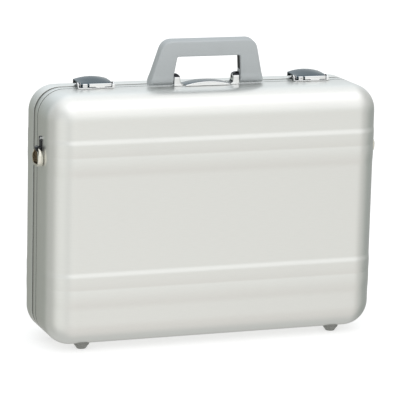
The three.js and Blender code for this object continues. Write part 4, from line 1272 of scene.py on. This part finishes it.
def addStitches(bm, outline, y, length=3.2 * mm, gap=1.4 * mm, thickness=0.45 * mm):
    # a row of thread stitches along a closed outline of (x, z) points, standing just off the leather
    for start, end in zip(outline, outline[1:] + outline[:1]):
        start, span = Vector(start), Vector(end) - Vector(start)
        count = int(span.length / (length + gap))
        margin = (span.length - count * (length + gap) + gap) / 2
        along = span.normalized()
        aside = Vector((-along.y, along.x)) * thickness / 2
        for i in range(count):
            a = start + along * (margin + i * (length + gap))
            b = a + along * length
            addPrism(bm, [a + aside, a - aside, b - aside, b + aside], "y", y - 0.22 * mm, y + 0.12 * mm)


leather = {
    "crowns": {
        "organizer_panel": 0.9 * mm, "document_pocket": 1.2 * mm,
        "card_pocket": 1.0 * mm, "pen_holder": 1.0 * mm,
    },
    "softEdge": 7 * mm, "padSeam": 5 * mm, "strapSeam": 2.6 * mm, "buckleBar": 3.2 * mm,
}


def buildOrganizer():
    columns, rows = 36, 20
    for node, crown in leather["crowns"].items():
        low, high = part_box(node)
        width, height = high.x - low.x, high.z - low.z
        rings = []
        for column in range(columns + 1):
            u = column / columns
            front, back = [], []
            for row in range(rows + 1):
                v = row / rows
                near = min(1, min(min(u, 1 - u) * width, min(v, 1 - v) * height) / leather["softEdge"])
                swell = crown * near * (2 - near)
                front.append((low.x + u * width, low.y + crown - swell, low.z + v * height))
                back.append((low.x + u * width, high.y, low.z + v * height))
            rings.append(front + back[::-1])
        bm = bmesh.new()
        addLoft(bm, rings)
        pad = finishPiece(bm, f"{node}_hide", blackLeather, node)
        bm = bmesh.new()
        addStitches(bm, rectangle(low.xz, high.xz, leather["padSeam"]), low.y + 0.12 * crown)
        finishPiece(bm, f"{node}_stitching", waxedThread, body="lid")


def buildBuckle(hand):
    low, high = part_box(f"strap_buckle_{hand}")
    bar = leather["buckleBar"]
    x, middle = (low.x + high.x) / 2, (low.z + high.z) / 2
    bm = bmesh.new()
    for x0, x1, z0, z1 in (
        (low.x, high.x, low.z, low.z + bar), (low.x, high.x, high.z - bar, high.z),
        (low.x, low.x + bar, low.z, high.z), (high.x - bar, high.x, low.z, high.z),
    ):
        addBlock(bm, (x0, low.y, z0), (x1, high.y, z1), 0.9 * mm, 3)
    # cross bar and prong
    crossLow = (low.x + bar / 2, low.y + 0.4 * mm, middle - 1.2 * mm)
    addBlock(bm, crossLow, (high.x - bar / 2, high.y - 0.4 * mm, middle + 1.2 * mm), 0.7 * mm, 3)
    prongLow = (x - 1.1 * mm, low.y + 0.8 * mm, middle)
    addBlock(bm, prongLow, (x + 1.1 * mm, high.y, high.z - bar / 2), 0.6 * mm, 3)
    finishPiece(bm, f"strap_buckle_{hand}_frame", brightChrome, f"strap_buckle_{hand}")


def buildStraps():
    for hand in ("left", "right"):
        low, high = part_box(f"strap_{hand}")
        bm = bmesh.new()
        outline = filletLoop(rectangle(low.xz, high.xz), 4 * mm, 5)
        addPrism(bm, outline, "y", low.y, high.y, 0.4 * mm, 2)
        finishPiece(bm, f"strap_{hand}_hide", blackLeather, f"strap_{hand}")
        bm = bmesh.new()
        addStitches(bm, rectangle(low.xz, high.xz, leather["strapSeam"]), high.y + 0.1 * mm)
        finishPiece(bm, f"strap_{hand}_stitching", waxedThread, body="front_case")
        buildBuckle(hand)


print("building the inside")
buildOrganizer()
buildStraps()


camera = {"lens": 219.37, "yaw": 20.12, "pitch": 12.21, "roll": 1.42, "place": (-1.09709, -2.99148, 0.87085)}
studio = {
    "backdrop": (1.0, 1.0, 1.0, 1),
    "ambient": (0.625, 0.633, 0.618, 1),
    "cardCore": 5,  # half angle of the full strength
    "floorSize": 6.0,
    # azimuth (0 in front, 90 to the right), elevation, half angle of the soft edge, colour, strength
    "cards": {
        "overhead": (0, 90, 60, (0.96, 0.96, 1.0), 0.52),
        "highFront": (20, 42, 52, (1.0, 0.97, 0.99), 0.51),
        "frontFill": (8, 0, 32, (0.94, 1.0, 0.95), 0.175),
        "lowFront": (20, -38, 45, (1.0, 0.86, 0.82), 0.21),
        "highLeft": (-42, 35, 50, (0.9, 0.94, 1.0), 0.17),
        "lowLeft": (-50, -18, 42, (1.0, 0.98, 0.92), 0.26),
        "highBackRight": (160, 28, 40, (0.75, 0.88, 1.0), 0.29),
        "highBackLeft": (-158, 32, 45, (0.6, 0.8, 1.0), 0.12),
        "leftFlag": (-105, -22, 42, (0.9, 0.9, 1.0), -0.12),
        "backLeftFlag": (-158, -7, 36, (0.97, 0.94, 1.0), -0.29),
        "backRightFlag": (160, -20, 38, (0.9, 1.0, 1.0), -0.165),
        "rightFlag": (105, -22, 42, (1.0, 0.94, 0.94), -0.27),
        "frontRightFlag": (62, -22, 42, (0.95, 0.9, 1.0), -0.08),
    },
}


def addCamera():
    data = bpy.data.cameras.new("camera")
    data.sensor_width = 36
    data.lens = camera["lens"]
    data.clip_end = 100
    obj = bpy.data.objects.new("camera", data)
    bpy.context.scene.collection.objects.link(obj)
    yaw, pitch, roll = (math.radians(camera[k]) for k in ("yaw", "pitch", "roll"))
    forward = Vector((math.sin(yaw) * math.cos(pitch), math.cos(yaw) * math.cos(pitch), -math.sin(pitch)))
    right = Vector((math.cos(yaw), -math.sin(yaw), 0))
    up = right.cross(forward)
    rolledRight = right * math.cos(roll) + up * math.sin(roll)
    rolledUp = up * math.cos(roll) - right * math.sin(roll)
    matrix = Matrix((rolledRight, rolledUp, -forward)).transposed().to_4x4()
    matrix.translation = Vector(camera["place"])
    obj.matrix_world = matrix
    bpy.context.scene.camera = obj


def addWorld():
    # a soft studio: an even ambient with broad cards laid over it by direction
    world = bpy.data.worlds.new("studio")
    world.use_nodes = True
    bpy.context.scene.world = world
    tree = world.node_tree
    background = tree.nodes["Background"]
    direction = addNode(tree, "ShaderNodeTexCoord").outputs["Generated"]
    total = studio["ambient"]
    for azimuth, elevation, spread, colour, strength in studio["cards"].values():
        across, up = onCircle(1, elevation)
        forward, sideways = onCircle(across, azimuth)
        values = {0: direction, 1: (sideways, -forward, up)}
        facing = addNode(tree, "ShaderNodeVectorMath", {"operation": "DOT_PRODUCT"}, values).outputs["Value"]
        low, high = math.cos(math.radians(spread)), math.cos(math.radians(studio["cardCore"]))
        amount = rampValue(tree, facing, low, high, 0.0, abs(strength))
        total = mixColour(tree, amount, total, (*colour, 1), "ADD" if strength > 0 else "SUBTRACT")
    seen = addNode(tree, "ShaderNodeLightPath").outputs["Is Camera Ray"]
    tree.links.new(mixColour(tree, seen, total, studio["backdrop"]), background.inputs[0])


def addFloor():
    bm = bmesh.new()
    bmesh.ops.create_grid(bm, x_segments=2, y_segments=2, size=studio["floorSize"])
    mesh = bpy.data.meshes.new("floor")
    bm.to_mesh(mesh)
    bm.free()
    obj = bpy.data.objects.new("floor", mesh)
    bpy.context.scene.collection.objects.link(obj)
    glow = {"Specular IOR Level": 0.1, "Emission Color": (1, 1, 1, 1), "Emission Strength": 0.6}
    mat, tree, shader = newMaterial("paleFloor", 0.0, 0.9, glow)
    grain = useGroup(tree, grainGroup, {"Scale": 300.0})
    base = mixColour(tree, grain["Tone"], (0.5, 0.5, 0.5, 1), (0.54, 0.54, 0.54, 1))
    tree.links.new(base, shader.inputs["Base Color"])
    mesh.materials.append(mat)
    obj.visible_glossy = False  # metal sees the studio cards below the horizon


print("setting up the studio")
addCamera()
addWorld()
addFloor()
bpy.context.scene.view_settings.view_transform = "Standard"

print("done")
